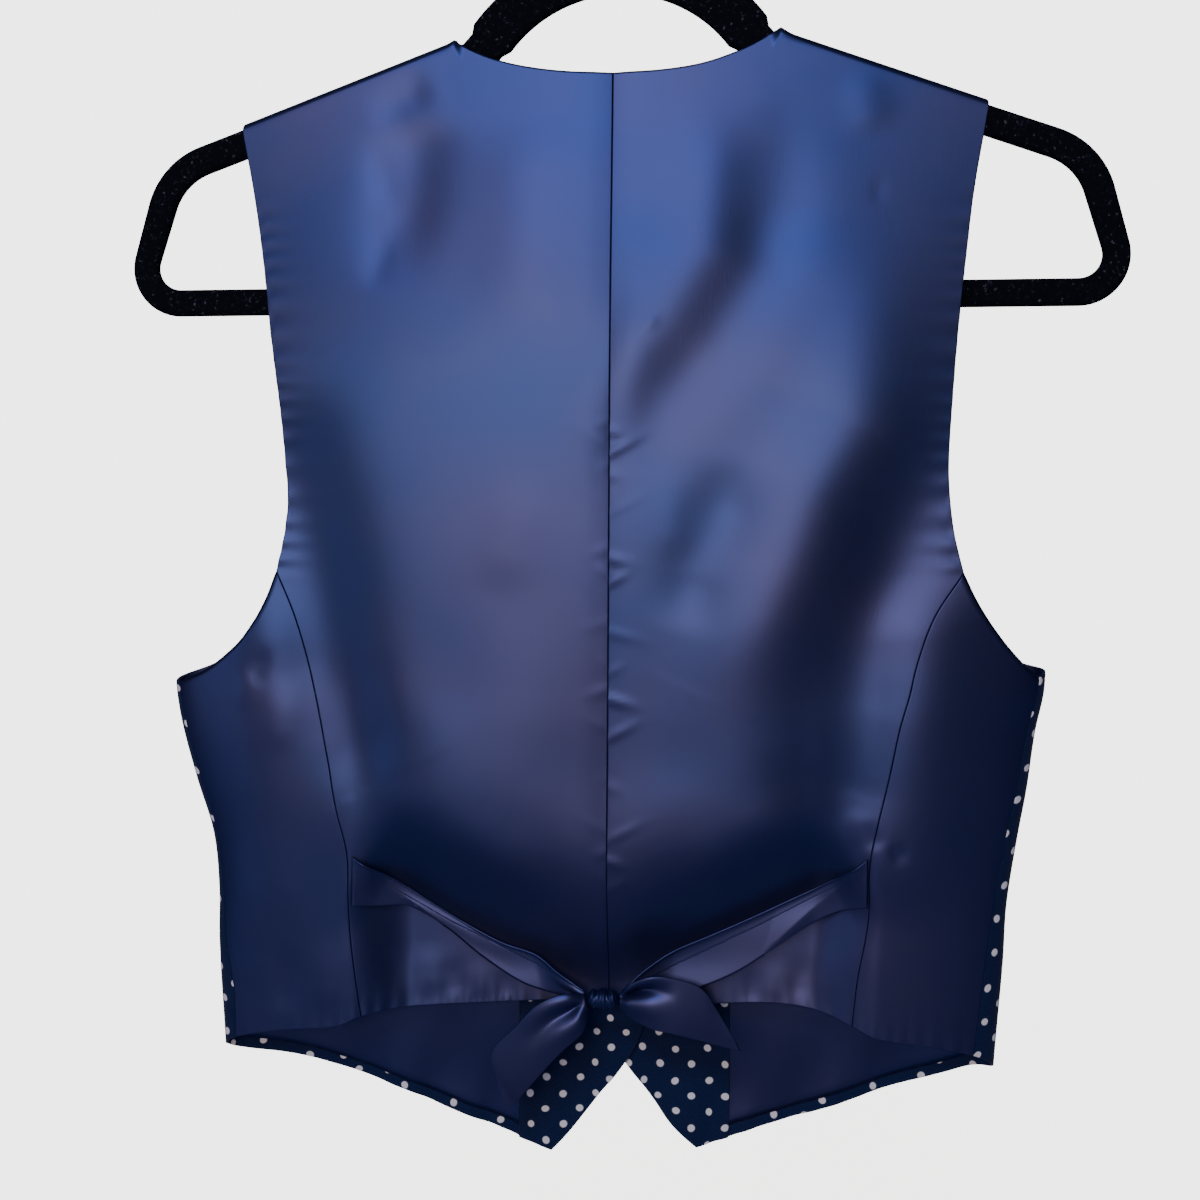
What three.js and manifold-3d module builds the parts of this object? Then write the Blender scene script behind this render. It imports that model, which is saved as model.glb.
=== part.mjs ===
// A suit waistcoat on a slim flocked hanger, in millimetres, +Z up.
// The back of the waistcoat faces -Y and its wearer's right side is towards +X.
// The origin is the underside of the hook's crown, where a rail carries it.
import * as THREE from 'three';
import { mergeVertices } from 'three/addons/utils/BufferGeometryUtils.js';
import Module from 'manifold-3d';

const wasm = await Module();
wasm.setup();

const degree = Math.PI / 180;
const sides = [{ name: 'left', way: -1 }, { name: 'right', way: 1 }];

// Cloth
const gap = 0.3;              // between two pieces at a seam, and between two layers
const shellWall = 1.2;
const liningWall = 1.0;
const tieWall = 1.2;
const hemTurn = 4;            // shell turned up inside the front hem, below the lining
const centreBack = -2.3;      // x of the centre-back seam
const centreFront = 3.7;      // x of the line of buttons
const ringPower = 5;          // squareness of the flat ring that a section of the body makes
const overlap = 9.5;          // each front passes the line of buttons by this
const lapShift = 1.6;         // the right front stands out and the left front lies in by this
const lapFull = 14;           // from the line of buttons, how far the shift is whole
const lapEnd = 70;            // and where it has died away

// Sections of the body by height: from the centre-back seam to each side fold,
// and how far the back and the front stand from the hanger's plane.
const body = [
  { z: -620, left: 171, right: 164, back: 13, front: 14.5 },
  { z: -560, left: 173.5, right: 166.8, back: 13.5, front: 15 },
  { z: -515, left: 176.6, right: 170.4, back: 13.5, front: 15.5 },
  { z: -490, left: 176.8, right: 171.8, back: 13.5, front: 15.5 },
  { z: -465, left: 179.5, right: 175.5, back: 14, front: 15.5 },
  { z: -440, left: 187.5, right: 180, back: 14.5, front: 15.5 },
  { z: -415, left: 194.5, right: 183.5, back: 15, front: 15.5 },
  { z: -395, left: 197.5, right: 187.5, back: 15, front: 15.5 },
  { z: -340, left: 198.5, right: 189, back: 15, front: 15.5 },
  { z: -250, left: 198.5, right: 189, back: 14.5, front: 14.5 },
  { z: -100, left: 198.5, right: 189, back: 13, front: 13 },
];

// The shoulder line rests on the hanger's arms, and the cloth rolls over them.
const crestNeck = -110.4;     // height of the crest where the arm meets the neck
const crestNeckX = 72;
const crestSlope = 0.366;
const crestRise = 0.17;       // how the crest climbs the foot of the hanger's neck
const crestRiseFrom = 77;
const crestRiseTo = 70;
const rollRadius = 4.25;      // from the crest down to where the cloth hangs
const rollLength = rollRadius * Math.PI / 2;
const hugBack = 4.5;          // depth of the outer face where the back hangs from the arm
const hugFront = 5.75;        // and of the front, which has a lining or facing too
const shoulderSpread = 160;   // below the crest the two layers part over this length
const innerStop = 1.2;        // the lining and the facing end this far below the roll
const evenFrom = 40;          // below the crest, where cloth length and height agree again
const ringTop = -345;         // the ring opens into two separate layers from here
const ringShut = -388;        // and is closed at the sides from here down

// Seams and edges of the back, as distances from the centre-back seam.
const neckline = [
  { left: 0, leftZ: -127.8, right: 0, rightZ: -127.8 },
  { left: 20, leftZ: -126.8, right: 20, rightZ: -127.2 },
  { left: 38, leftZ: -124.2, right: 38, rightZ: -124.8 },
  { left: 52, leftZ: -120.6, right: 54, rightZ: -119.8 },
  { left: 62, leftZ: -116.6, right: 64, rightZ: -115.2 },
  { left: 69.4, leftZ: -113.8, right: 71.6, rightZ: -111.6 },
];
const neckPoint = { left: 70.4, right: 72.6 };
const shoulderTip = { left: 166.6, right: 162 };
const armhole = [
  { z: -347, left: 147.8, right: 151.2 },
  { z: -331, left: 144.6, right: 147.4 },
  { z: -315, left: 143.2, right: 145.4 },
  { z: -300, left: 144.4, right: 144.8 },
  { z: -270, left: 147.2, right: 146.4 },
  { z: -240, left: 151.6, right: 149 },
  { z: -210, left: 155.6, right: 152.4 },
  { z: -180, left: 160.6, right: 156.2 },
];
const underarm = [
  { left: 147.8, leftZ: -347, right: 151.2, rightZ: -347 },
  { left: 152.6, leftZ: -360, right: 157.3, rightZ: -359.5 },
  { left: 158.4, leftZ: -370.6, right: 164.4, rightZ: -370.5 },
  { left: 166.6, leftZ: -380.6, right: 172, rightZ: -380 },
  { left: 181, leftZ: -391.2, right: 179.5, rightZ: -387.6 },
  { left: 194.5, leftZ: -397.4, right: 184.6, rightZ: -391.4 },
];
const princess = [
  { left: 108.5, leftZ: -543, right: 105.2, rightZ: -541 },
  { z: -520, left: 111.9, right: 107.6 },
  { z: -495, left: 114.3, right: 111.9 },
  { z: -472, left: 114.9, right: 112.1 },
  { z: -455, left: 119.2, right: 115.4 },
  { z: -430, left: 124, right: 121.1 },
  { z: -405, left: 129, right: 126.9 },
  { z: -385, left: 133.8, right: 131.9 },
  { z: -365, left: 140, right: 139.4 },
  { z: -347, left: 147.8, right: 151.2 },
];
const sideSeam = [
  { left: 167.4, leftZ: -556, right: 157.2, rightZ: -553.6 },
  { z: -535, left: 168, right: 159.6 },
  { z: -515, left: 171.6, right: 161.9 },
  { z: -490, left: 173.6, right: 165.5 },
  { z: -465, left: 176.8, right: 169.4 },
  { z: -440, left: 184, right: 175 },
  { z: -415, left: 191.3, right: 179.2 },
  { left: 194.5, leftZ: -397.4, right: 184.6, rightZ: -391.4 },
];
const centreHem = [
  { left: 0, leftZ: -532.4, right: 0, rightZ: -532.4 },
  { left: 40, leftZ: -534.4, right: 40, rightZ: -533 },
  { left: 75, leftZ: -536.6, right: 74, rightZ: -531.8 },
  { left: 93, leftZ: -538.6, right: 91, rightZ: -534.4 },
  { left: 108.5, leftZ: -543, right: 105.2, rightZ: -541 },
];
const sideHem = [
  { left: 108.5, leftZ: -543, right: 105.2, rightZ: -541 },
  { left: 120, leftZ: -548, right: 115.4, rightZ: -546.2 },
  { left: 143, leftZ: -550.6, right: 134, rightZ: -548.8 },
  { left: 167.4, leftZ: -556, right: 157.2, rightZ: -553.6 },
];

// Edges of the fronts. Distances are from the centre-back line, but those of the front edge
// and of the facing's inner edge are from the line of buttons, to the piece's own side.
const frontUnderarm = [
  { fold: true, leftZ: -396, rightZ: -388.6 },
  { left: 184, leftZ: -389.6, right: 177.5, rightZ: -385 },
  { left: 169, leftZ: -380.6, right: 167, rightZ: -378 },
  { left: 155, leftZ: -364, right: 156, rightZ: -363 },
  { left: 146, leftZ: -347, right: 148, rightZ: -347 },
  { left: 140.5, leftZ: -322, right: 142, rightZ: -322 },
  { left: 139.5, leftZ: -295, right: 140, rightZ: -295 },
  { left: 143, leftZ: -262, right: 142.5, rightZ: -262 },
  { left: 149, leftZ: -226, right: 147, rightZ: -226 },
  { left: 158, leftZ: -184, right: 154.5, rightZ: -184 },
];
const frontHem = [
  { left: 165, leftZ: -564.4, right: 159, rightZ: -561.6 },
  { left: 150, leftZ: -567, right: 147, rightZ: -566.4 },
  { left: 130, leftZ: -572, right: 128, rightZ: -573.4 },
  { left: 110, leftZ: -578.6, right: 108, rightZ: -581.2 },
  { left: 88, leftZ: -586.6, right: 88, rightZ: -588.8 },
  { left: 66, leftZ: -595.6, right: 68, rightZ: -595.6 },
];
const hemAtFold = { left: -560.6, right: -559.8 };
const frontPoint = { left: 33, leftZ: -608.8, right: 32.4, rightZ: -606 };
const cutaway = [
  { out: 22.3, z: -597.3 },
  { out: 14, z: -586 },
  { out: 4.6, z: -574.6 },
  { out: -4.4, z: -561 },
  { out: -8.4, z: -551 },
];
const frontEdgeTop = -352;
const frontEdgeBottom = -543;
const neckCross = -333;       // height where the two neck edges cross
const facingEdge = [
  { out: 47, z: -580 },
  { out: 47, z: -500 },
  { out: 47, z: -430 },
  { out: 49, z: -385 },
  { out: 55, z: -333 },
  { out: 67, z: -280 },
  { out: 83, z: -215 },
  { out: 97, z: -160 },
];
const facingFoot = { left: 47.4, leftZ: -603.8, right: 46.6, rightZ: -601.2 };
const facingShoulder = 38;    // width of the facing along the shoulder seam
const foldStrip = 6;          // width at the shoulder of the first step in from the front's side edge

// The largest folds, each a soft ridge along a line of x and z, or a trough where its height is
// below nought. fadeIn and fadeOut are the shares of the line over which it comes and goes.
const backFolds = [
  { width: 16, height: 1.1, fadeIn: 0.2, fadeOut: 0.4,
    line: [[44, -132], [42, -174], [40, -209], [24, -232], [11, -248], [-6, -285], [-16, -325]] },
  { width: 17, height: -1.5, fadeIn: 0.3, fadeOut: 0.4,
    line: [[60, -128], [65, -150], [66, -190], [62, -214], [42, -250], [22, -272], [6, -300],
      [-2, -335]] },
  { width: 13, height: -1.2, fadeIn: 0.3, fadeOut: 0.3,
    line: [[50, -296], [46, -320], [36, -345], [28, -375]] },
  { width: 25, height: 3.2, fadeIn: 0.4, fadeOut: 0.3,
    line: [[112, -190], [111, -235], [106, -285], [88, -315], [78, -345], [66, -370],
      [48, -404], [33, -440]] },
  { width: 23, height: -4, fadeIn: 0.4, fadeOut: 0.15,
    line: [[146, -262], [138, -297], [123, -333], [110, -370], [98, -404], [90, -440],
      [86, -464]] },
  { width: 24, height: 2.2, fadeIn: 0.2, fadeOut: 0.2,
    line: [[128, -345], [132, -400], [130, -450], [122, -500]] },
  { width: 20, height: 0.9, fadeIn: 0.3, fadeOut: 0.4,
    line: [[-38, -140], [-40, -200], [-42, -250]] },
  { width: 16, height: -1.5, fadeIn: 0.2, fadeOut: 0.5,
    line: [[-90, -142], [-92, -180], [-102, -230]] },
  { width: 22, height: -3.8, fadeIn: 0.2, fadeOut: 0.2,
    line: [[-152, -256], [-147, -297], [-138, -325], [-132, -350], [-126, -386], [-116, -410],
      [-100, -439], [-92, -458]] },
  { width: 20, height: 2, fadeIn: 0.2, fadeOut: 0.2,
    line: [[-158, -345], [-160, -400], [-160, -460], [-156, -520]] },
  { width: 26, height: 1, fadeIn: 0.5, fadeOut: 0.5,
    line: [[-44, -350], [-40, -410], [-32, -470]] },
  { width: 22, height: -4, fadeIn: 0.06, fadeOut: 0.06,
    line: [[-112, -476], [-70, -498], [-20, -521], [-4, -526], [12, -521], [66, -495], [106, -473]] },
];
const frontFolds = [
  { width: 26, height: 2.4, fadeIn: 0.15, fadeOut: 0.15,
    line: [[92, -190], [70, -340]] },
  { width: 24, height: -2.4, fadeIn: 0.15, fadeOut: 0.15,
    line: [[118, -240], [104, -360]] },
  { width: 26, height: -2.2, fadeIn: 0.15, fadeOut: 0.15,
    line: [[128, -390], [88, -480]] },
  { width: 26, height: 2.2, fadeIn: 0.15, fadeOut: 0.15,
    line: [[-96, -180], [-74, -350]] },
  { width: 24, height: -2.6, fadeIn: 0.15, fadeOut: 0.15,
    line: [[-122, -250], [-108, -380]] },
  { width: 26, height: 2, fadeIn: 0.15, fadeOut: 0.15,
    line: [[-132, -400], [-92, -500]] },
];

// Grid steps along and across the panels.
const steps = {
  backLower: 11, backUpper: 11, backNeck: 5, backShoulder: 7, backSide: 4,
  frontSeam: 10, frontArmhole: 13, cutaway: 3, frontEdge: 9, neckEdge: 11,
  frontSide: 9, frontStrip: 3, roll: 3,
};

// Ties: the upper and lower edge from the princess seam to the knot, and how far the inner
// face is lifted off the back.
const tieRows = {
  left: [
    { topX: -114.6, topZ: -472.4, lowX: -115.2, lowZ: -494.4, lift: 1.2 },
    { topX: -105, topZ: -477.8, lowX: -103, lowZ: -494.8, lift: 1.4 },
    { topX: -94.9, topZ: -483.9, lowX: -90, lowZ: -495.2, lift: 1.7 },
    { topX: -73.7, topZ: -497, lowX: -73.7, lowZ: -503.6, lift: 2.5 },
    { topX: -60, topZ: -504.4, lowX: -57.4, lowZ: -516, lift: 2.9 },
    { topX: -47.6, topZ: -510.1, lowX: -41.2, lowZ: -526, lift: 3.3 },
    { topX: -34, topZ: -514.4, lowX: -29.8, lowZ: -530, lift: 3.5 },
    { topX: -24, topZ: -521, lowX: -20, lowZ: -531.4, lift: 3.7 },
    { topX: -11.4, topZ: -528.6, lowX: -11.3, lowZ: -533.4, lift: 3.9 },
  ],
  right: [
    { topX: 109, topZ: -468.6, lowX: 109.2, lowZ: -490, lift: 1.2 },
    { topX: 100, topZ: -475.4, lowX: 98, lowZ: -492.4, lift: 1.5 },
    { topX: 89, topZ: -481.8, lowX: 84, lowZ: -499.4, lift: 1.9 },
    { topX: 77, topZ: -487.8, lowX: 70, lowZ: -508.8, lift: 2.5 },
    { topX: 60, topZ: -496, lowX: 54, lowZ: -519.4, lift: 3.1 },
    { topX: 42, topZ: -504.2, lowX: 38, lowZ: -526.6, lift: 3.5 },
    { topX: 26, topZ: -511.4, lowX: 24, lowZ: -529.6, lift: 3.7 },
    { topX: 13, topZ: -520, lowX: 12, lowZ: -531.6, lift: 3.9 },
    { topX: 3.8, topZ: -528.2, lowX: 3.7, lowZ: -533.2, lift: 4.1 },
  ],
};
const tieSteps = 14;
const tieAcross = 3;

// Free ends: both edges from the knot to the slanted cut end, and the depth of the outer face.
const tailRows = {
  left: [
    { topX: -11.3, topZ: -529.6, lowX: -10.3, lowZ: -535.8, depth: 16.1 },
    { topX: -20.7, topZ: -529.2, lowX: -12.6, lowZ: -545.4, depth: 18.6 },
    { topX: -31.5, topZ: -533.6, lowX: -20, lowZ: -552.6, depth: 19.6 },
    { topX: -41.3, topZ: -543.8, lowX: -28.5, lowZ: -561.8, depth: 18.6 },
    { topX: -51.5, topZ: -555.2, lowX: -38.6, lowZ: -574.1, depth: 17 },
    { topX: -49.6, topZ: -567.1, lowX: -41.6, lowZ: -577.4, depth: 16.5 },
    { topX: -45.8, topZ: -578.6, lowX: -44.6, lowZ: -579.4, depth: 16.5 },
  ],
  right: [
    { topX: 3.7, topZ: -529.4, lowX: 3.7, lowZ: -534.2, depth: 16.1 },
    { topX: 9, topZ: -523.6, lowX: 9.4, lowZ: -538.6, depth: 18.2 },
    { topX: 17.5, topZ: -520, lowX: 17.8, lowZ: -542.4, depth: 20.4 },
    { topX: 27, topZ: -520.6, lowX: 27, lowZ: -544.2, depth: 20.6 },
    { topX: 38.6, topZ: -524.6, lowX: 37.4, lowZ: -546.8, depth: 19.4 },
    { topX: 45.6, topZ: -534.4, lowX: 46.4, lowZ: -549.4, depth: 18.4 },
    { topX: 55.4, topZ: -550.6, lowX: 55.6, lowZ: -551.8, depth: 17.4 },
  ],
};
const tailSteps = 9;
const knot = { x: -3.8, z: -531.4, halfWidth: 7.2, halfHeight: 4.7, depth: 14.5, halfDepth: 4.8 };

// Hanger: corners of the frame's centre line, each with its bend radius and the frame's height.
const hangerThickness = 5.5;
const hangerCorners = [
  { x: 219.5, z: -225.9, radius: 16, height: 12 },
  { x: 202.7, z: -166.8, radius: 31, height: 13 },
  { x: 67, z: -118, radius: 0, height: 12.8 },
  { x: 60.2, z: -114.7, radius: 9, height: 17 },
  { x: 0, z: -34.2, radius: 70.5, height: 21 },
];
const bendStep = 13 * degree;
const hookWire = 3.8;
const hookBore = 4.6;
const hookBoreDepth = 14;
const hookRadius = 18.5;      // centre line of the hook's bend
const hookStemTop = -46;
const hookTipAngle = 200 * degree;

// Buttons
const buttonRadius = 7.5;
const buttonHeights = [-356, -414, -472, -530];

// Colours and finishes
const finish = {
  satin: { color: 0x3d4a7c, roughness: 0.38, metalness: 0 },
  dotted: { color: 0x0a1c48, roughness: 0.75, metalness: 0 },
  velvet: { color: 0x0a0b10, roughness: 0.95, metalness: 0 },
  metal: { color: 0xb9bcc0, roughness: 0.25, metalness: 1 },
  button: { color: 0x0e1734, roughness: 0.35, metalness: 0 },
};

const group = new THREE.Group();

function smooth(t) {
  const s = Math.min(1, Math.max(0, t));
  return s * s * (3 - 2 * s);
}

// A smooth line through one column of a table whose rows are in order of z, level past its ends.
function read(rows, key, z) {
  if (z <= rows[0].z) return rows[0][key];
  const last = rows.length - 1;
  if (z >= rows[last].z) return rows[last][key];
  const k = rows.findIndex(row => row.z > z) - 1;
  const slope = i => {
    const a = rows[Math.max(0, i - 1)];
    const b = rows[Math.min(last, i + 1)];
    return (b[key] - a[key]) / (b.z - a.z);
  };
  const span = rows[k + 1].z - rows[k].z;
  const t = (z - rows[k].z) / span;
  return (2 * t ** 3 - 3 * t ** 2 + 1) * rows[k][key] + (t ** 3 - 2 * t ** 2 + t) * span * slope(k)
    + (3 * t ** 2 - 2 * t ** 3) * rows[k + 1][key] + (t ** 3 - t ** 2) * span * slope(k + 1);
}

function crestHeight(x) {
  const away = Math.max(Math.abs(x), crestRiseTo);
  const climb = crestRise * Math.max(0, crestRiseFrom - away) ** 1.5;
  return crestNeck - crestSlope * (away - crestNeckX) + climb;
}

// Height lost over a length of cloth from the crest: a quarter circle, then evenly to evenFrom.
const evenPace = (evenFrom - rollRadius) / (evenFrom - rollLength);
function fallOver(along) {
  if (along < rollLength) return rollRadius * (1 - Math.cos(along / rollRadius));
  return Math.min(along, rollRadius + (along - rollLength) * evenPace);
}

// The length of cloth that loses a given height.
function clothOver(fall) {
  if (fall <= 0) return 0;
  if (fall < rollRadius) return rollRadius * Math.acos(1 - fall / rollRadius);
  return Math.max(fall, rollLength + (fall - rollRadius) / evenPace);
}

for (const fold of [...backFolds, ...frontFolds]) {
  fold.lengths = [0];
  for (let i = 1; i < fold.line.length; i++) {
    const [runX, runZ] = [0, 1].map(k => fold.line[i][k] - fold.line[i - 1][k]);
    fold.lengths.push(fold.lengths[i - 1] + Math.hypot(runX, runZ));
  }
}

function foldHeight(folds, x, z) {
  let sum = 0;
  for (const fold of folds) {
    const whole = fold.lengths[fold.lengths.length - 1];
    let nearest = Infinity;
    let share = 0;
    for (let i = 1; i < fold.line.length; i++) {
      const [fromX, fromZ] = fold.line[i - 1];
      const runX = fold.line[i][0] - fromX;
      const runZ = fold.line[i][1] - fromZ;
      const run = fold.lengths[i] - fold.lengths[i - 1];
      const along = ((x - fromX) * runX + (z - fromZ) * runZ) / run ** 2;
      const t = Math.min(1, Math.max(0, along));
      const away = Math.hypot(x - fromX - runX * t, z - fromZ - runZ * t);
      if (away < nearest) {
        nearest = away;
        share = (fold.lengths[i - 1] + run * t) / whole;
      }
    }
    const bell = Math.exp(-((nearest / fold.width) ** 2));
    sum += fold.height * bell * smooth(share / fold.fadeIn) * smooth((1 - share) / fold.fadeOut);
  }
  return sum;
}

// The outer face of the cloth. The angle goes round the body from 0 at the centre back through
// 90 at the side fold to 180 at the front, and height is where cloth hangs, before the crest's roll.
function sheetPoint(side, angle, height) {
  const sine = Math.sin(angle * degree);
  const x = centreBack + side.way * read(body, side.name, height) * sine;
  const crest = crestHeight(x);
  const along = Math.max(0, crest - height);
  const front = angle > 90;
  const hug = front ? hugFront : hugBack;
  const full = read(body, front ? 'front' : 'back', height);
  const depth = hug + (full - hug) * smooth(along / shoulderSpread);
  const shut = smooth((ringTop - height) / (ringTop - ringShut));
  const held = hug * (1 - shut);
  const ring = Math.sqrt(Math.max(0, 1 - Math.abs(sine) ** ringPower));
  let out = held + (depth - held) * ring;
  out += foldHeight(front ? frontFolds : backFolds, x, height) * ring * smooth(along / 60);
  if (front) {
    const fromButtons = Math.abs(x - centreFront);
    out += side.way * lapShift * smooth((lapEnd - fromButtons) / (lapEnd - lapFull)) * smooth(along / 60);
  }
  if (along < rollLength) out *= Math.sin(along / rollRadius);
  return new THREE.Vector3(x, front ? out : -out, crest - fallOver(along));
}

// The outward direction of the cloth, from two short steps on it.
function sheetNormal(side, angle, height) {
  const step = 0.05;
  const across = sheetPoint(side, angle + step, height).sub(sheetPoint(side, angle - step, height));
  const up = sheetPoint(side, angle, height).sub(sheetPoint(side, angle, height - step));
  return across.cross(up).normalize().multiplyScalar(side.way);
}

// A place on the cloth from its distance to the centre-back line and its true height.
function place(side, distance, z, face) {
  const crest = crestHeight(centreBack + side.way * distance);
  const height = crest - clothOver(crest - z);
  const turn = Math.asin(distance / read(body, side.name, height)) / degree;
  return { angle: face === 'front' ? 180 - turn : turn, height };
}

// The rows of a table as places. A row gives z, or leftZ and rightZ where the sides differ.
function places(side, rows, face) {
  return rows.map(row => {
    const z = row.z ?? row[`${side.name}Z`];
    if (row.fold) return { angle: 90, height: z };
    return place(side, row[side.name], z, face);
  });
}

// Places on a front by distance from the line of buttons.
function buttonPlaces(side, rows) {
  const offset = side.way * (centreFront - centreBack);
  return rows.map(row => place(side, row.out + offset, row.z, 'front'));
}

// Cuts a smooth line through stops into steps of equal length on the cloth.
function spread(side, stops, count) {
  const line = new THREE.CatmullRomCurve3(
    stops.map(stop => new THREE.Vector3(stop.angle, stop.height, 0)), false, 'centripetal');
  const fine = line.getPoints(Math.max(stops.length, count) * 10);
  const lengths = [0];
  let before = sheetPoint(side, fine[0].x, fine[0].y);
  for (let k = 1; k < fine.length; k += 1) {
    const here = sheetPoint(side, fine[k].x, fine[k].y);
    lengths.push(lengths[k - 1] + here.distanceTo(before));
    before = here;
  }
  const total = lengths[lengths.length - 1];
  const result = [];
  for (let i = 0; i <= count; i += 1) {
    const want = total * i / count;
    const k = Math.max(1, lengths.findIndex(length => length >= want - 1e-9));
    const t = (want - lengths[k - 1]) / (lengths[k] - lengths[k - 1]);
    const at = fine[k - 1].clone().lerp(fine[k], t);
    result.push({ angle: at.x, height: at.y });
  }
  return result;
}

// Several lines in one, each cut into its own number of steps.
function chain(...lines) {
  return lines.reduce((all, line) => all.concat(line.slice(1)));
}

function shares(side, line) {
  const lengths = [0];
  for (let k = 1; k < line.length; k += 1) {
    const here = sheetPoint(side, line[k].angle, line[k].height);
    lengths.push(lengths[k - 1] + here.distanceTo(sheetPoint(side, line[k - 1].angle, line[k - 1].height)));
  }
  return lengths.map(length => length / lengths[lengths.length - 1]);
}

// Fills a four-sided patch between its edges: start and end go up, bottom and top go across.
function patch(side, start, end, bottom, top) {
  const startShare = shares(side, start);
  const endShare = shares(side, end);
  const bottomShare = shares(side, bottom);
  const topShare = shares(side, top);
  const lastRow = start.length - 1;
  const lastColumn = bottom.length - 1;
  return start.map((unused, i) => bottom.map((alsoUnused, j) => {
    const v = (startShare[i] + endShare[i]) / 2;
    const u = (bottomShare[j] + topShare[j]) / 2;
    const blend = key => (1 - u) * start[i][key] + u * end[i][key]
      + (1 - v) * bottom[j][key] + v * top[j][key]
      - (1 - u) * (1 - v) * bottom[0][key] - u * (1 - v) * bottom[lastColumn][key]
      - (1 - u) * v * top[0][key] - u * v * top[lastColumn][key];
    if (i === 0) return bottom[j];
    if (i === lastRow) return top[j];
    if (j === 0) return start[i];
    if (j === lastColumn) return end[i];
    return { angle: blend('angle'), height: blend('height') };
  }));
}

// Rows added on top of a grid, up to its true edge, for the roll over the hanger's arm.
function withRoll(grid) {
  const top = grid[grid.length - 1];
  const rows = grid.slice();
  for (let k = 1; k <= steps.roll; k += 1) {
    rows.push(top.map(at => ({ angle: at.angle, height: at.height + rollLength * k / steps.roll })));
  }
  return rows;
}

// A grid whose top row stops a little lower, for what lies inside the roll.
function withLowTop(grid) {
  const top = grid[grid.length - 1].map(at => ({ angle: at.angle, height: at.height - innerStop }));
  return [...grid.slice(0, -1), top];
}

function addMesh(name, geometry, look) {
  const mesh = new THREE.Mesh(geometry, new THREE.MeshStandardMaterial(finish[look]));
  mesh.name = name;
  group.add(mesh);
  return mesh;
}

// A closed geometry from points and triangles, turned the right way out.
function closedGeometry(points, triangles) {
  let volume = 0;
  for (const [a, b, c] of triangles) {
    volume += points[a].dot(new THREE.Vector3().crossVectors(points[b], points[c]));
  }
  const ordered = volume < 0 ? triangles.map(([a, b, c]) => [a, c, b]) : triangles;
  const geometry = new THREE.BufferGeometry();
  const numbers = points.flatMap(p => [p.x, p.y, p.z]);
  geometry.setAttribute('position', new THREE.Float32BufferAttribute(numbers, 3));
  geometry.setIndex(ordered.flat());
  geometry.computeVertexNormals();
  return geometry;
}

// A wall between an outer and an inner grid of points, closed round its rim.
function wallGeometry(outer, inner) {
  const rows = outer.length;
  const columns = outer[0].length;
  const points = [...outer.flat(), ...inner.flat()];
  const out = (i, j) => i * columns + j;
  const back = (i, j) => rows * columns + i * columns + j;
  const triangles = [];
  const quad = (a, b, c, d) => triangles.push([a, b, c], [a, c, d]);
  for (let i = 0; i < rows - 1; i += 1) {
    for (let j = 0; j < columns - 1; j += 1) {
      quad(out(i, j), out(i, j + 1), out(i + 1, j + 1), out(i + 1, j));
      quad(back(i, j), back(i + 1, j), back(i + 1, j + 1), back(i, j + 1));
    }
    quad(out(i, 0), out(i + 1, 0), back(i + 1, 0), back(i, 0));
    quad(out(i + 1, columns - 1), out(i, columns - 1), back(i, columns - 1), back(i + 1, columns - 1));
  }
  for (let j = 0; j < columns - 1; j += 1) {
    quad(out(0, j + 1), out(0, j), back(0, j), back(0, j + 1));
    quad(out(rows - 1, j), out(rows - 1, j + 1), back(rows - 1, j + 1), back(rows - 1, j));
  }
  return closedGeometry(points, triangles);
}

// Moves one edge of a grid of points half a seam gap towards the row or column beside it.
function pullBack(points, edge) {
  const rows = points.length;
  const columns = points[0].length;
  const shift = (at, beside) => at.add(beside.clone().sub(at).setLength(gap / 2));
  if (edge === 'top') points[rows - 1].forEach((at, j) => shift(at, points[rows - 2][j]));
  if (edge === 'start') points.forEach(row => shift(row[0], row[1]));
  if (edge === 'end') points.forEach(row => shift(row[columns - 1], row[columns - 2]));
}

// A piece of cloth over a grid of places, moved in from the outer face by inset.
function addCloth(name, side, grid, { look, wall = shellWall, inset = 0, seams = [] }) {
  const normals = grid.map(row => row.map(at => sheetNormal(side, at.angle, at.height)));
  const outer = grid.map((row, i) => row.map((at, j) => (
    sheetPoint(side, at.angle, at.height).addScaledVector(normals[i][j], -inset))));
  seams.forEach(edge => pullBack(outer, edge));
  const inner = outer.map((row, i) => row.map((at, j) => at.clone().addScaledVector(normals[i][j], -wall)));
  addMesh(name, wallGeometry(outer, inner), look);
}

// The line along the top of a panel, one roll's length below its true edge.
function belowRoll(line) {
  return line.map(at => ({ angle: at.angle, height: at.height - rollLength }));
}

function shoulderPlaces(side, from, to, face) {
  const stops = [];
  for (let k = 0; k <= 4; k += 1) {
    const distance = from + (to - from) * k / 4;
    stops.push(place(side, distance, crestHeight(centreBack + side.way * distance), face));
  }
  return stops;
}

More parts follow.
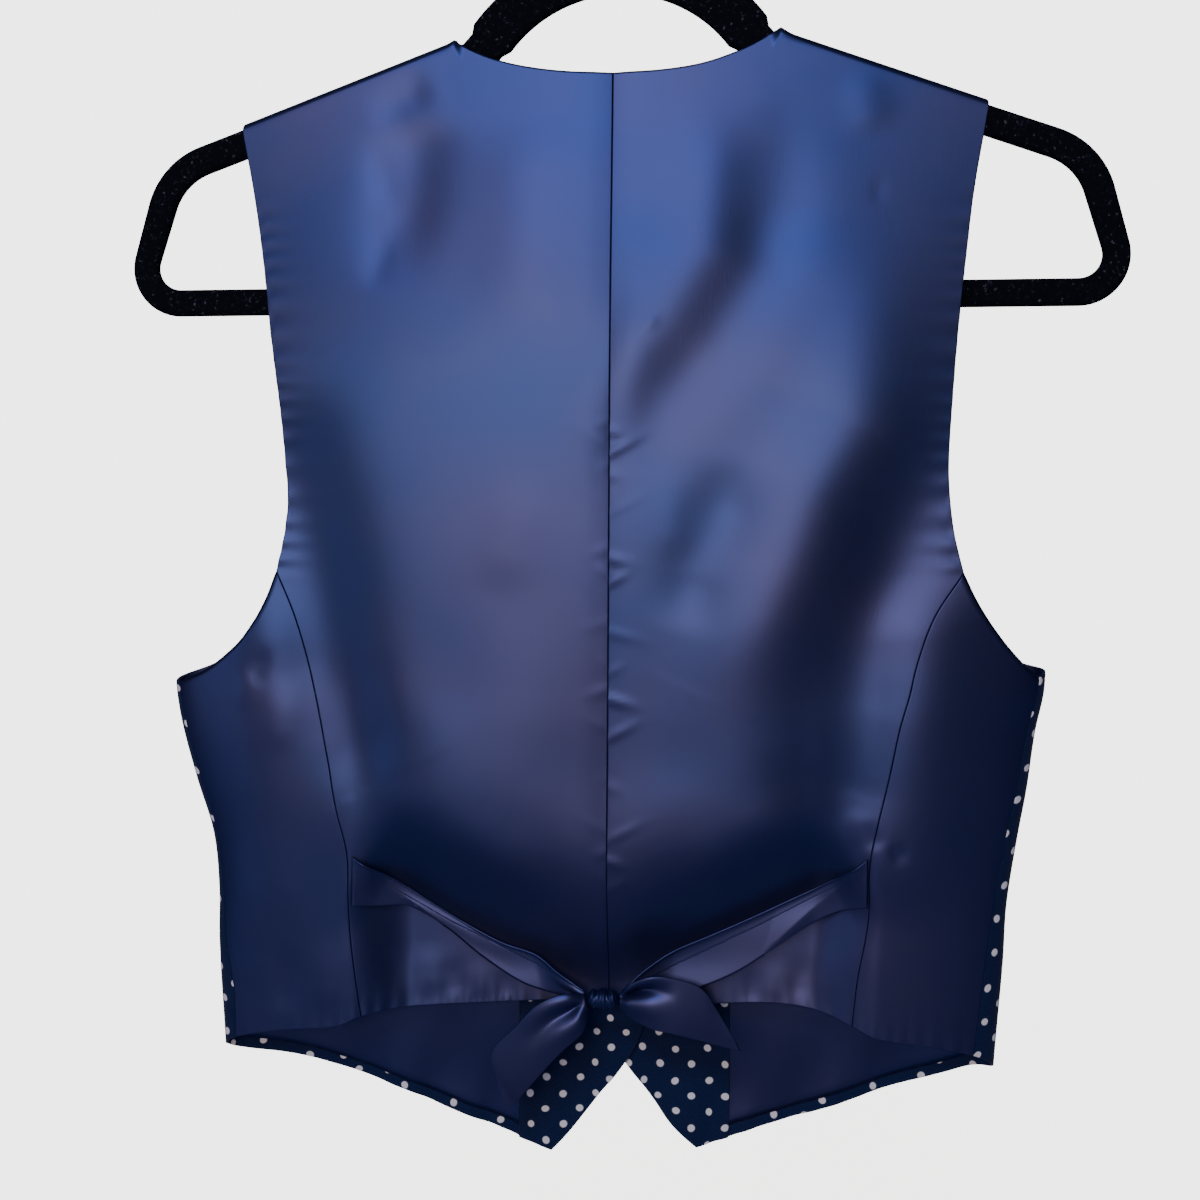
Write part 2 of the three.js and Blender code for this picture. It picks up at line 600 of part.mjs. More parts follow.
function makeBack(side) {
  const neck = places(side, neckline, 'back');
  const shoulder = shoulderPlaces(side, neckPoint[side.name], shoulderTip[side.name], 'back');
  const top = belowRoll(chain(
    spread(side, neck, steps.backNeck - 1),
    [neck[neck.length - 1], shoulder[0]],
    spread(side, shoulder, steps.backShoulder)));
  const princessLine = spread(side, places(side, princess, 'back'), steps.backLower);
  const turn = princessLine[steps.backLower];
  const armholeLine = spread(side, [...places(side, armhole, 'back'), top[top.length - 1]], steps.backUpper);
  const hem = places(side, centreHem, 'back');
  const centreLine = chain(
    spread(side, [hem[0], { angle: 0, height: turn.height }], steps.backLower),
    spread(side, [{ angle: 0, height: turn.height }, top[0]], steps.backUpper));
  const bottom = spread(side, hem, steps.backNeck + steps.backShoulder);
  const centreGrid = withRoll(patch(side, centreLine, chain(princessLine, armholeLine), bottom, top));
  addCloth(`back_centre_${side.name}`, side, centreGrid, { look: 'satin', seams: ['start', 'end', 'top'] });

  const seam = fromHem(side, places(side, sideSeam, 'back'), steps.frontSeam);
  const sideBottom = spread(side, places(side, sideHem, 'back'), steps.backSide);
  const sideTop = spread(side, places(side, underarm, 'back'), steps.backSide);
  const sideGrid = patch(side, princessLine, seam, sideBottom, sideTop);
  addCloth(`back_side_${side.name}`, side, sideGrid, { look: 'satin', seams: ['start', 'end'] });
}

// The first step up from the hem is the turned-up strip.
function fromHem(side, stops, count) {
  const whole = spread(side, stops, 200);
  const start = sheetPoint(side, whole[0].angle, whole[0].height);
  const k = whole.findIndex(at => sheetPoint(side, at.angle, at.height).distanceTo(start) >= hemTurn);
  return chain([whole[0], whole[k]], spread(side, whole.slice(k), count));
}

function makeFront(side) {
  const name = side.name;
  const offset = side.way * (centreFront - centreBack);
  const seamStops = places(side, sideSeam, 'back');
  const shoulderNeck = neckPoint[name];
  const shoulderSplit = shoulderNeck + facingShoulder;
  const facingToNeck = shoulderPlaces(side, shoulderSplit, shoulderNeck, 'front');
  const tip = shoulderPlaces(side, shoulderTip[name], shoulderSplit, 'front')[0];
  const tipToFacing = shoulderPlaces(side, shoulderTip[name] - foldStrip, shoulderSplit, 'front');
  const topSide = belowRoll(chain([tip, tipToFacing[0]], spread(side, tipToFacing, steps.frontSide - 1)));
  const topStrip = belowRoll(spread(side, facingToNeck, steps.frontStrip));

  const outerEdge = chain(
    fromHem(side, seamStops, steps.frontSeam),
    spread(side, [seamStops[seamStops.length - 1], ...places(side, frontUnderarm, 'front'), topSide[0]],
      steps.frontArmhole));

  const facingBottom = place(side, facingFoot[name] + offset, facingFoot[`${name}Z`], 'front');
  const facingLine = fromHem(side, [facingBottom, ...buttonPlaces(side, facingEdge), topStrip[0]],
    steps.frontSeam + steps.frontArmhole);

  const point = place(side, frontPoint[name] + offset, frontPoint[`${name}Z`], 'front');
  const edgeBottom = buttonPlaces(side, [{ out: -overlap, z: frontEdgeBottom }])[0];
  const edgeTop = buttonPlaces(side, [{ out: -overlap, z: frontEdgeTop }])[0];
  const neckEnd = topStrip[topStrip.length - 1];
  const neckOut = shoulderNeck - offset;
  const neckRows = [0.02, 0.1, 0.35, 0.65, 0.88].map(t => (
    { out: neckOut * t, z: neckCross + (crestNeck - neckCross) * t }));
  const frontEdge = chain(
    fromHem(side, [point, ...buttonPlaces(side, cutaway), edgeBottom], steps.cutaway),
    spread(side, [edgeBottom, edgeTop], steps.frontEdge),
    spread(side, [edgeTop, ...buttonPlaces(side, neckRows), neckEnd], steps.neckEdge));

  const fold = { angle: 90, height: hemAtFold[name] };
  const bottomSide = chain(
    [seamStops[0], fold],
    spread(side, [fold, ...places(side, frontHem, 'front'), facingBottom], steps.frontSide - 1));
  const bottomStrip = spread(side, [facingBottom, point], steps.frontStrip);

  const sideGrid = patch(side, outerEdge, facingLine, bottomSide, topSide);
  const stripGrid = patch(side, facingLine, frontEdge, bottomStrip, topStrip);
  const wholeGrid = withRoll(sideGrid.map((row, i) => row.concat(stripGrid[i].slice(1))));
  addCloth(`front_${name}`, side, wholeGrid, { look: 'dotted', seams: ['start', 'top'] });
  addCloth(`front_lining_${name}`, side, withLowTop(sideGrid.slice(1)),
    { look: 'satin', wall: liningWall, inset: shellWall + gap, seams: ['start', 'end'] });
  addCloth(`front_facing_${name}`, side, withLowTop(stripGrid),
    { look: 'dotted', wall: liningWall, inset: shellWall + gap, seams: ['start'] });
}

// A smooth line through one column of a list of rows, at a share t of the list's length.
function readList(rows, key, t) {
  const listed = rows.map((row, i) => ({ z: i / (rows.length - 1), [key]: row[key] }));
  return read(listed, key, t);
}

// The depth of the back's outer face at a place seen from behind.
function backDepth(x, z) {
  const side = sides[x < centreBack ? 0 : 1];
  const at = place(side, Math.abs(x - centreBack), z, 'back');
  return -sheetPoint(side, at.angle, at.height).y;
}

// A strip of cloth between two edges, with depth given by a function of x, z and the shares
// along and across.
function stripGeometry(rows, count, depthAt) {
  const outer = [];
  const inner = [];
  for (let i = 0; i <= count; i += 1) {
    const t = i / count;
    const row = [];
    for (let j = 0; j <= tieAcross; j += 1) {
      const s = j / tieAcross;
      const x = readList(rows, 'topX', t) * (1 - s) + readList(rows, 'lowX', t) * s;
      const z = readList(rows, 'topZ', t) * (1 - s) + readList(rows, 'lowZ', t) * s;
      row.push(new THREE.Vector3(x, -depthAt(x, z, t, s), z));
    }
    inner.push(row);
    outer.push(row.map(at => new THREE.Vector3(at.x, at.y - tieWall, at.z)));
  }
  return wallGeometry(outer, inner);
}

function makeTies(side) {
  const rows = tieRows[side.name];
  const bulge = 1.2;
  addMesh(`tie_${side.name}`, stripGeometry(rows, tieSteps, (x, z, t, s) => {
    const free = backDepth(x, z) + readList(rows, 'lift', t) + bulge * Math.sin(Math.PI * s) * smooth(t * 3);
    const drawn = smooth((t - 0.75) / 0.25);
    return free * (1 - drawn) + (knot.depth - 1.6) * drawn;
  }), 'satin');
  const tail = tailRows[side.name];
  const cup = 1.6;
  addMesh(`tie_tail_${side.name}`, stripGeometry(tail, tailSteps, (x, z, t, s) => (
    readList(tail, 'depth', t) - tieWall + cup * Math.sin(Math.PI * s) * (1 - t))), 'satin');
}

// The knot: a rounded barrel with a waist where the loop is drawn tight.
function makeKnot() {
  const around = 12;
  const along = 7;
  const points = [new THREE.Vector3(knot.x - knot.halfWidth, -knot.depth, knot.z)];
  for (let i = 1; i < along; i += 1) {
    const t = -Math.cos(Math.PI * i / along);
    const swell = (1 - Math.abs(t) ** 3) ** 0.5 * (0.88 + 0.12 * Math.cos(3 * Math.PI * t));
    for (let k = 0; k < around; k += 1) {
      const turn = 2 * Math.PI * k / around;
      points.push(new THREE.Vector3(
        knot.x + knot.halfWidth * t,
        -knot.depth - knot.halfDepth * swell * Math.cos(turn),
        knot.z + knot.halfHeight * swell * Math.sin(turn)));
    }
  }
  points.push(new THREE.Vector3(knot.x + knot.halfWidth, -knot.depth, knot.z));
  const at = (i, k) => 1 + (i - 1) * around + k % around;
  const triangles = [];
  for (let k = 0; k < around; k += 1) {
    triangles.push([0, at(1, k + 1), at(1, k)]);
    triangles.push([points.length - 1, at(along - 1, k), at(along - 1, k + 1)]);
    for (let i = 1; i < along - 1; i += 1) {
      triangles.push([at(i, k), at(i, k + 1), at(i + 1, k + 1)], [at(i, k), at(i + 1, k + 1), at(i + 1, k)]);
    }
  }
  addMesh('tie_knot', closedGeometry(points, triangles), 'satin');
}

// Rings of equal count joined into one closed body: end to end, or capped at both ends.
function loftGeometry(rings, endless) {
  const count = rings[0].length;
  const points = rings.flat();
  const triangles = [];
  const at = (i, k) => (i % rings.length) * count + k % count;
  const last = endless ? rings.length : rings.length - 1;
  for (let i = 0; i < last; i += 1) {
    for (let k = 0; k < count; k += 1) {
      triangles.push([at(i, k), at(i, k + 1), at(i + 1, k + 1)], [at(i, k), at(i + 1, k + 1), at(i + 1, k)]);
    }
  }
  if (!endless) {
    for (let k = 1; k < count - 1; k += 1) {
      triangles.push([at(0, 0), at(0, k + 1), at(0, k)]);
      triangles.push([at(last, 0), at(last, k), at(last, k + 1)]);
    }
  }
  return closedGeometry(points, triangles);
}

// The frame's centre line: straight runs, and an arc at each corner that has a radius.
function frameLine() {
  const right = hangerCorners.slice();
  const left = hangerCorners.slice(0, -1).reverse().map(corner => ({ ...corner, x: -corner.x }));
  const corners = [...right, ...left];
  const line = [];
  corners.forEach((corner, i) => {
    const before = corners[(i + corners.length - 1) % corners.length];
    const after = corners[(i + 1) % corners.length];
    const here = new THREE.Vector2(corner.x, corner.z);
    const arriving = here.clone().sub(new THREE.Vector2(before.x, before.z)).normalize();
    const leaving = new THREE.Vector2(after.x, after.z).sub(here).normalize();
    const bend = Math.atan2(arriving.cross(leaving), arriving.dot(leaving));
    const reach = corner.radius * Math.tan(Math.abs(bend) / 2);
    const start = here.clone().addScaledVector(arriving, -reach);
    const pieces = corner.radius > 0 ? Math.max(2, Math.ceil(Math.abs(bend) / bendStep)) : 0;
    const hand = Math.sign(bend);
    for (let k = 0; k <= pieces; k += 1) {
      const turned = pieces > 0 ? bend * k / pieces : bend / 2;
      const ahead = arriving.clone().rotateAround(new THREE.Vector2(), turned);
      const outward = new THREE.Vector2(ahead.y, -ahead.x);
      const inward = new THREE.Vector2(arriving.y, -arriving.x);
      const centre = start.clone().addScaledVector(inward, -hand * corner.radius);
      const at = pieces > 0 ? centre.addScaledVector(outward, hand * corner.radius) : here;
      line.push({ x: at.x, z: at.y, outX: outward.x, outZ: outward.y, height: corner.height });
    }
  });
  return line;
}

function makeFrame() {
  const half = hangerThickness / 2;
  const rings = frameLine().map(at => {
    const flat = at.height / 2 - half;
    const ring = [];
    for (let k = 0; k < 10; k += 1) {
      const end = k < 5 ? 1 : -1;
      const turn = (-90 + 45 * (k % 5)) * degree;
      const reach = end * (flat + half * Math.cos(turn));
      ring.push(new THREE.Vector3(
        at.x + at.outX * reach,
        end * half * Math.sin(turn),
        at.z + at.outZ * reach));
    }
    return ring;
  });
  const whole = toSolid(loftGeometry(rings, true));
  const bore = new THREE.CylinderGeometry(hookBore / 2, hookBore / 2, 2 * hookBoreDepth, 12);
  bore.rotateX(Math.PI / 2).translate(0, 0, neckTop());
  addMesh('hanger_frame', fromSolid(whole.subtract(toSolid(bore))), 'velvet');
}

// The top of the frame, above the middle of its neck.
function neckTop() {
  const apex = hangerCorners[hangerCorners.length - 1];
  const shoulder = hangerCorners[hangerCorners.length - 2];
  const slope = Math.atan2(apex.z - shoulder.z, shoulder.x);
  return apex.z - apex.radius * (1 / Math.cos(slope) - 1) + apex.height / 2;
}

function toSolid(geometry) {
  const bare = geometry.clone();
  bare.deleteAttribute('normal');
  bare.deleteAttribute('uv');
  const merged = mergeVertices(bare, 1e-4);
  return new wasm.Manifold(new wasm.Mesh({
    numProp: 3,
    vertProperties: new Float32Array(merged.attributes.position.array),
    triVerts: new Uint32Array(merged.index.array),
  }));
}

function fromSolid(solid) {
  const mesh = solid.getMesh();
  const geometry = new THREE.BufferGeometry();
  geometry.setAttribute('position', new THREE.BufferAttribute(mesh.vertProperties, 3));
  geometry.setIndex(new THREE.BufferAttribute(mesh.triVerts, 1));
  geometry.computeVertexNormals();
  return geometry;
}

// The hook's wire: a stem from the bore, a bend out to the side and a round crown with its mouth
// to the left. The crown's underside is at the origin.
function makeHook() {
  const wire = hookWire / 2;
  const centreZ = wire - hookRadius;
  const line = [
    { x: 0, z: neckTop() - hookBoreDepth + gap },
    { x: 0, z: hookStemTop - 8 },
    { x: 1.2, z: hookStemTop },
    { x: 6, z: hookStemTop + 9 },
  ];
  const bendSteps = 15;
  for (let k = 0; k <= bendSteps; k += 1) {
    const turn = -40 * degree + (hookTipAngle + 40 * degree) * k / bendSteps;
    line.push({ x: hookRadius * Math.cos(turn), z: centreZ + hookRadius * Math.sin(turn) });
  }
  const stops = line.map(at => new THREE.Vector3(at.x, 0, at.z));
  const path = new THREE.CatmullRomCurve3(stops, false, 'centripetal');
  const count = 26;
  const rings = [];
  for (let i = 0; i <= count; i += 1) {
    const t = i / count;
    const at = path.getPointAt(t);
    const ahead = path.getTangentAt(t);
    const outward = new THREE.Vector3(ahead.z, 0, -ahead.x);
    rings.push([...Array(8).keys()].map(k => at.clone()
      .addScaledVector(outward, wire * Math.cos(k * 45 * degree))
      .add(new THREE.Vector3(0, wire * Math.sin(k * 45 * degree), 0))));
  }
  addMesh('hanger_hook', loftGeometry(rings, false), 'metal');
}

// A dished button on the outside of the right front.
function makeButton(z, index) {
  const right = sides[1];
  const at = place(right, centreFront - centreBack, z, 'front');
  const seat = sheetPoint(right, at.angle, at.height).y + gap;
  const profile = [[0, 0], [6, 0], [7.5, 0.9], [7.5, 2.4], [6.6, 3], [5.4, 2.3], [0, 2.1]];
  const geometry = new THREE.LatheGeometry(profile.map(([r, h]) => (
    new THREE.Vector2(r * buttonRadius / 7.5, h))), 16);
  const mesh = addMesh(`button_${index + 1}`, mergedLathe(geometry), 'button');
  mesh.position.set(centreFront, seat, z);
}

function mergedLathe(geometry) {
  return fromSolid(toSolid(geometry));
}

makeFrame();
makeHook();
sides.forEach(makeBack);
sides.forEach(makeFront);
sides.forEach(makeTies);
makeKnot();
buttonHeights.forEach(makeButton);

export default group;
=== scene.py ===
# A suit waistcoat with a satin back and dotted fronts, buttoned and hung on a slim flocked hanger.
# Lengths are in millimetres until a mesh is made. The back faces -Y, +Z is up.
import math
import bpy
import numpy as np
from mathutils import Matrix, Vector


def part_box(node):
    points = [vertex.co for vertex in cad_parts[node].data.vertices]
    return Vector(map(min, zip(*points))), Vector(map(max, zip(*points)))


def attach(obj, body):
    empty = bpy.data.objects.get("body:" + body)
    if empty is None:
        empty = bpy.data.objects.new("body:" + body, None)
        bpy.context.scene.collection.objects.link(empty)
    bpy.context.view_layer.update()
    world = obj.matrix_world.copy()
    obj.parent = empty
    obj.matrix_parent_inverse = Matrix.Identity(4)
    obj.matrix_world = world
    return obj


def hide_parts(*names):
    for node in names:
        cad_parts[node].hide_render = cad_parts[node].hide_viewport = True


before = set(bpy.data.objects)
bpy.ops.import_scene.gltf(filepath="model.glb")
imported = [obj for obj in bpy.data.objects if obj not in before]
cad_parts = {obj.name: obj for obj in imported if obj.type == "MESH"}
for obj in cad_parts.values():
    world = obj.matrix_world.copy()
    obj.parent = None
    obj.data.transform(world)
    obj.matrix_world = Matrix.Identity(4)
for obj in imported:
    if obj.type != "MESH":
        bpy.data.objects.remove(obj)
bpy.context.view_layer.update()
scene = bpy.context.scene
print("frame loaded:", len(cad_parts), "solids")

cameraValues = {"target": (-7.2, 0.0, -359.3), "distance": 650.0, "turnDegrees": 5.0, "rollDegrees": 0.3,
                "lens": 44.13}


def makeCamera(values):  # looks level at the target from behind the waistcoat, a little to its right
    turn, roll = math.radians(values["turnDegrees"]), math.radians(values["rollDegrees"])
    back = Vector((math.sin(turn), -math.cos(turn), 0))
    right, up = Vector((math.cos(turn), math.sin(turn), 0)), Vector((0, 0, 1))
    across = right * math.cos(roll) + up * math.sin(roll)
    rise = up * math.cos(roll) - right * math.sin(roll)
    place = (Vector(values["target"]) + back * values["distance"]) * 0.001
    camera = bpy.data.objects.new("camera", bpy.data.cameras.new("camera"))
    camera.data.lens = values["lens"]
    camera.data.clip_start = 0.02
    camera.matrix_world = Matrix((across, rise, back)).transposed().to_4x4()
    camera.location = place
    scene.collection.objects.link(camera)
    scene.camera = camera


makeCamera(cameraValues)


# Materials

def linear(code, alpha=1.0):  # an sRGB hex colour turned to linear light
    parts = [int(code[i:i + 2], 16) / 255 for i in (0, 2, 4)]
    return [p / 12.92 if p <= 0.04045 else ((p + 0.055) / 1.055) ** 2.4 for p in parts] + [alpha]


def addNode(tree, kind, settings=None, inputs=None):  # one node with its settings, values and links
    node = tree.nodes.new(kind)
    for key, value in (settings or {}).items():
        setattr(node, key, value)
    for key, value in (inputs or {}).items():
        if isinstance(value, bpy.types.NodeSocket):
            tree.links.new(value, node.inputs[key])
        else:
            node.inputs[key].default_value = value
    return node


def newMaterial(name):
    material = bpy.data.materials.new(name)
    material.use_nodes = True
    material.node_tree.nodes.clear()
    return material, material.node_tree


def ramp(tree, factor, stops, interpolation="LINEAR"):  # a colour ramp from places and colours
    node = addNode(tree, "ShaderNodeValToRGB", None, {0: factor})
    node.color_ramp.interpolation = interpolation
    while len(node.color_ramp.elements) < len(stops):
        node.color_ramp.elements.new(0.5)
    for element, (place, colour) in zip(node.color_ramp.elements, stops):
        element.position = place
        element.color = colour
    return node.outputs[0]


satinValues = {"ground": "0B1234", "weft": "8E7C94", "weftCool": "6670A8", "weftRough": 0.42, "weftShare": 0.16,
               "warp": "4A76D8", "warpRough": 0.36, "warpShare": 0.10, "threadMm": 0.9}
dottedValues = {"ground": "04133A", "groundLight": "0A2250", "dot": "F6F8FC", "pitchMm": 10.3, "dotMm": 3.3,
                "wanderMm": 0.5}
velvetValues = {"pile": "0B0D15", "paintedGlint": "5A5E6C"}
hookValues = {"metal": "C9CBCE", "roughness": 0.16}
buttonValues = {"shell": "0B1636", "swirl": "1B2C5A"}


def makeSatin(values):
    # Woven polyester lining satin, shot: a blue warp floats over a purplish brown weft. The long floats
    # give a broad gloss that is blue near its peak, and the weft a wider, warmer one around it.
    material, tree = newMaterial("woven shot satin")
    coords = addNode(tree, "ShaderNodeUVMap", {"uv_map": "cloth"}).outputs[0]
    threads = addNode(tree, "ShaderNodeMapping", None,  # drawn coarser than the real 0.1 mm threads, to show
                      {"Vector": coords, "Scale": (1000 / values["threadMm"], 1000 / (values["threadMm"] * 9), 1)})
    grain = addNode(tree, "ShaderNodeTexNoise", None, {"Vector": threads.outputs[0], "Scale": 1.0, "Detail": 3.0})
    broad = addNode(tree, "ShaderNodeTexNoise", None, {"Vector": coords, "Scale": 9.0, "Detail": 2.0})
    weftTint = ramp(tree, broad.outputs[0], [(0.3, linear(values["weft"])), (0.7, linear(values["weftCool"]))])
    bump = addNode(tree, "ShaderNodeBump", None,
                   {"Strength": 0.05, "Distance": 0.0004, "Height": grain.outputs[0]})
    ground = addNode(tree, "ShaderNodeBsdfPrincipled", None,
                     {"Base Color": linear(values["ground"]), "Roughness": 0.7, "Specular IOR Level": 0.1,
                      "Normal": bump.outputs[0]})
    weft = addNode(tree, "ShaderNodeBsdfPrincipled", None,
                   {"Base Color": weftTint, "Metallic": 1.0, "Roughness": values["weftRough"],
                    "Normal": bump.outputs[0]})
    warp = addNode(tree, "ShaderNodeBsdfPrincipled", None,
                   {"Base Color": linear(values["warp"]), "Metallic": 1.0, "Roughness": values["warpRough"],
                    "Normal": bump.outputs[0]})
    under = addNode(tree, "ShaderNodeMixShader", None,
                    {0: values["weftShare"], 1: ground.outputs[0], 2: weft.outputs[0]})
    both = addNode(tree, "ShaderNodeMixShader", None,
                   {0: values["warpShare"], 1: under.outputs[0], 2: warp.outputs[0]})
    addNode(tree, "ShaderNodeOutputMaterial", None, {0: both.outputs[0]})
    return material


def makeDotted(values):
    # Light suiting of polyester crepe, printed with raised white dots: matt, with a faint crepe grain.
    material, tree = newMaterial("printed polyester crepe")
    coords = addNode(tree, "ShaderNodeUVMap", {"uv_map": "cloth"}).outputs[0]
    wander = addNode(tree, "ShaderNodeTexNoise", None, {"Vector": coords, "Scale": 60.0, "Detail": 0.0})
    centred = addNode(tree, "ShaderNodeVectorMath", {"operation": "SUBTRACT"},
                      {0: wander.outputs["Color"], 1: (0.5, 0.5, 0.5)})
    moved = addNode(tree, "ShaderNodeVectorMath", {"operation": "MULTIPLY_ADD"},
                    {0: centred.outputs[0], 1: (values["wanderMm"] * 0.006,) * 3, 2: coords})
    lattice = addNode(tree, "ShaderNodeMapping", None,
                      {"Vector": moved.outputs[0], "Rotation": (0, 0, math.radians(45)),
                       "Scale": (1000 / values["pitchMm"],) * 3})
    cell = addNode(tree, "ShaderNodeVectorMath", {"operation": "FRACTION"}, {0: lattice.outputs[0]})
    fromMiddle = addNode(tree, "ShaderNodeVectorMath", {"operation": "SUBTRACT"},
                         {0: cell.outputs[0], 1: (0.5, 0.5, 0)})
    flat = addNode(tree, "ShaderNodeVectorMath", {"operation": "MULTIPLY"}, {0: fromMiddle.outputs[0], 1: (1, 1, 0)})
    away = addNode(tree, "ShaderNodeVectorMath", {"operation": "LENGTH"}, {0: flat.outputs[0]})
    edge = values["dotMm"] / 2 / values["pitchMm"]
    dots = addNode(tree, "ShaderNodeMapRange", {"interpolation_type": "SMOOTHSTEP"},
                   {0: away.outputs["Value"], 1: edge * 1.12, 2: edge * 0.84, 3: 0.0, 4: 1.0})
    crepe = addNode(tree, "ShaderNodeTexNoise", None, {"Vector": coords, "Scale": 1400.0, "Detail": 2.0})
    ground = ramp(tree, crepe.outputs[0], [(0.35, linear(values["ground"])), (0.65, linear(values["groundLight"]))])
    colour = addNode(tree, "ShaderNodeMix", {"data_type": "RGBA"},
                     {0: dots.outputs[0], 6: ground, 7: linear(values["dot"])})
    height = addNode(tree, "ShaderNodeMath", {"operation": "MULTIPLY_ADD"},
                     {0: dots.outputs[0], 1: 1.5, 2: crepe.outputs[0]})
    bump = addNode(tree, "ShaderNodeBump", None,
                   {"Strength": 0.35, "Distance": 0.00018, "Height": height.outputs[0]})
    cloth = addNode(tree, "ShaderNodeBsdfPrincipled", None,
                    {"Base Color": colour.outputs[2], "Roughness": 0.78, "Specular IOR Level": 0.2,
                     "Sheen Weight": 0.12, "Sheen Roughness": 0.5, "Normal": bump.outputs[0]})
    addNode(tree, "ShaderNodeOutputMaterial", None, {0: cloth.outputs[0]})
    return material


def makeVelvet(values):
    # Nylon flock on moulded plastic: black, soft at the edges, with stray fibres whose glints are painted into its
    # colour as lighter specks.
    material, tree = newMaterial("nylon flock")
    coords = addNode(tree, "ShaderNodeTexCoord").outputs["Object"]
    pile = addNode(tree, "ShaderNodeTexNoise", None, {"Vector": coords, "Scale": 1600.0, "Detail": 2.0})
    stray = addNode(tree, "ShaderNodeTexNoise", None, {"Vector": coords, "Scale": 620.0, "Detail": 4.0})
    # painted glints: the lighter stops of this ramp stand for stray fibres catching the light
    colour = ramp(tree, stray.outputs[0],
                  [(0.54, linear(values["pile"])), (0.66, linear("1A1C26")), (0.74, linear(values["paintedGlint"]))])
    bump = addNode(tree, "ShaderNodeBump", None,
                   {"Strength": 0.6, "Distance": 0.0003, "Height": pile.outputs[0]})
    cloth = addNode(tree, "ShaderNodeBsdfPrincipled", None,
                    {"Base Color": colour, "Roughness": 0.95, "Specular IOR Level": 0.08,
                     "Sheen Weight": 0.18, "Sheen Roughness": 0.35, "Sheen Tint": linear("8890B0"),
                     "Normal": bump.outputs[0]})
    addNode(tree, "ShaderNodeOutputMaterial", None, {0: cloth.outputs[0]})
    return material


def makeChrome(values):
    # Plated steel wire: a bright mirror with fine drawing lines.
    material, tree = newMaterial("plated steel wire")
    coords = addNode(tree, "ShaderNodeTexCoord").outputs["Object"]
    lines = addNode(tree, "ShaderNodeTexNoise", None, {"Vector": coords, "Scale": 900.0, "Detail": 2.0})
    rough = addNode(tree, "ShaderNodeMapRange", None,
                    {0: lines.outputs[0], 3: values["roughness"] * 0.7, 4: values["roughness"] * 1.5})
    metal = addNode(tree, "ShaderNodeBsdfPrincipled", None,
                    {"Base Color": linear(values["metal"]), "Metallic": 1.0, "Roughness": rough.outputs[0]})
    addNode(tree, "ShaderNodeOutputMaterial", None, {0: metal.outputs[0]})
    return material


def makeButtonPlastic(values):
    # Cast polyester button: navy with a faint cloudy swirl under a low gloss.
    material, tree = newMaterial("cast polyester")
    coords = addNode(tree, "ShaderNodeTexCoord").outputs["Object"]
    cloud = addNode(tree, "ShaderNodeTexNoise", None,
                    {"Vector": coords, "Scale": 180.0, "Detail": 3.0, "Distortion": 2.5})
    colour = ramp(tree, cloud.outputs[0], [(0.35, linear(values["shell"])), (0.75, linear(values["swirl"]))])
    plastic = addNode(tree, "ShaderNodeBsdfPrincipled", None,
                      {"Base Color": colour, "Roughness": 0.28, "IOR": 1.54})
    addNode(tree, "ShaderNodeOutputMaterial", None, {0: plastic.outputs[0]})
    return material


def makeThread(code):
    # Spun polyester sewing thread: matt, with the twist as a fine ripple.
    material, tree = newMaterial("sewing thread")
    coords = addNode(tree, "ShaderNodeTexCoord").outputs["Object"]
    twist = addNode(tree, "ShaderNodeTexNoise", None, {"Vector": coords, "Scale": 2500.0, "Detail": 1.0})
    colour = ramp(tree, twist.outputs[0], [(0.3, linear(code)), (0.8, linear("1D2C58"))])
    cloth = addNode(tree, "ShaderNodeBsdfPrincipled", None,
                    {"Base Color": colour, "Roughness": 0.7, "Specular IOR Level": 0.2})
    addNode(tree, "ShaderNodeOutputMaterial", None, {0: cloth.outputs[0]})
    return material


satin = makeSatin(satinValues)
dotted = makeDotted(dottedValues)
velvet = makeVelvet(velvetValues)
chrome = makeChrome(hookValues)
buttonPlastic = makeButtonPlastic(buttonValues)
thread = makeThread("0A1434")
print("materials made")


# The waistcoat's form

leftSide, rightSide = {"name": "left", "way": -1}, {"name": "right", "way": 1}
form = {
    "centreBack": -2.3, "centreFront": 3.7, "ringPower": 5, "overlap": 9.5,
    "lapShift": 1.6, "lapFull": 14, "lapEnd": 70,
    "crestNeck": -110.4, "crestNeckX": 72, "crestSlope": 0.366, "crestRise": 0.09, "crestRiseFrom": 77,
    "crestRiseTo": 70, "rollRadius": 4.25, "hugBack": 4.5, "hugFront": 5.75, "shoulderSpread": 160,
    "evenFrom": 40, "ringTop": -345, "ringShut": -388, "shellWall": 1.2, "liningWall": 1.0, "layerGap": 0.3,
    "hemTurn": 4, "innerStop": 1.2,
}
# Sections by height: reach from the centre back to each side fold, depth of the back and of the front.
bodyRows = np.array([
    (-620, 171, 164, 13, 14.5), (-560, 173.5, 166.8, 13.5, 15), (-515, 176.6, 170.4, 13.5, 15.5),
    (-490, 176.8, 171.8, 13.5, 15.5), (-465, 179.5, 175.5, 14, 15.5), (-440, 187.5, 180, 14.5, 15.5),
    (-415, 194.5, 183.5, 15, 15.5), (-395, 197.5, 187.5, 15, 15.5), (-340, 198.5, 189, 15, 15.5),
    (-250, 198.5, 189, 14.5, 14.5), (-100, 198.5, 189, 13, 13)])
bodyColumn = {"left": 1, "right": 2, "back": 3, "front": 4}
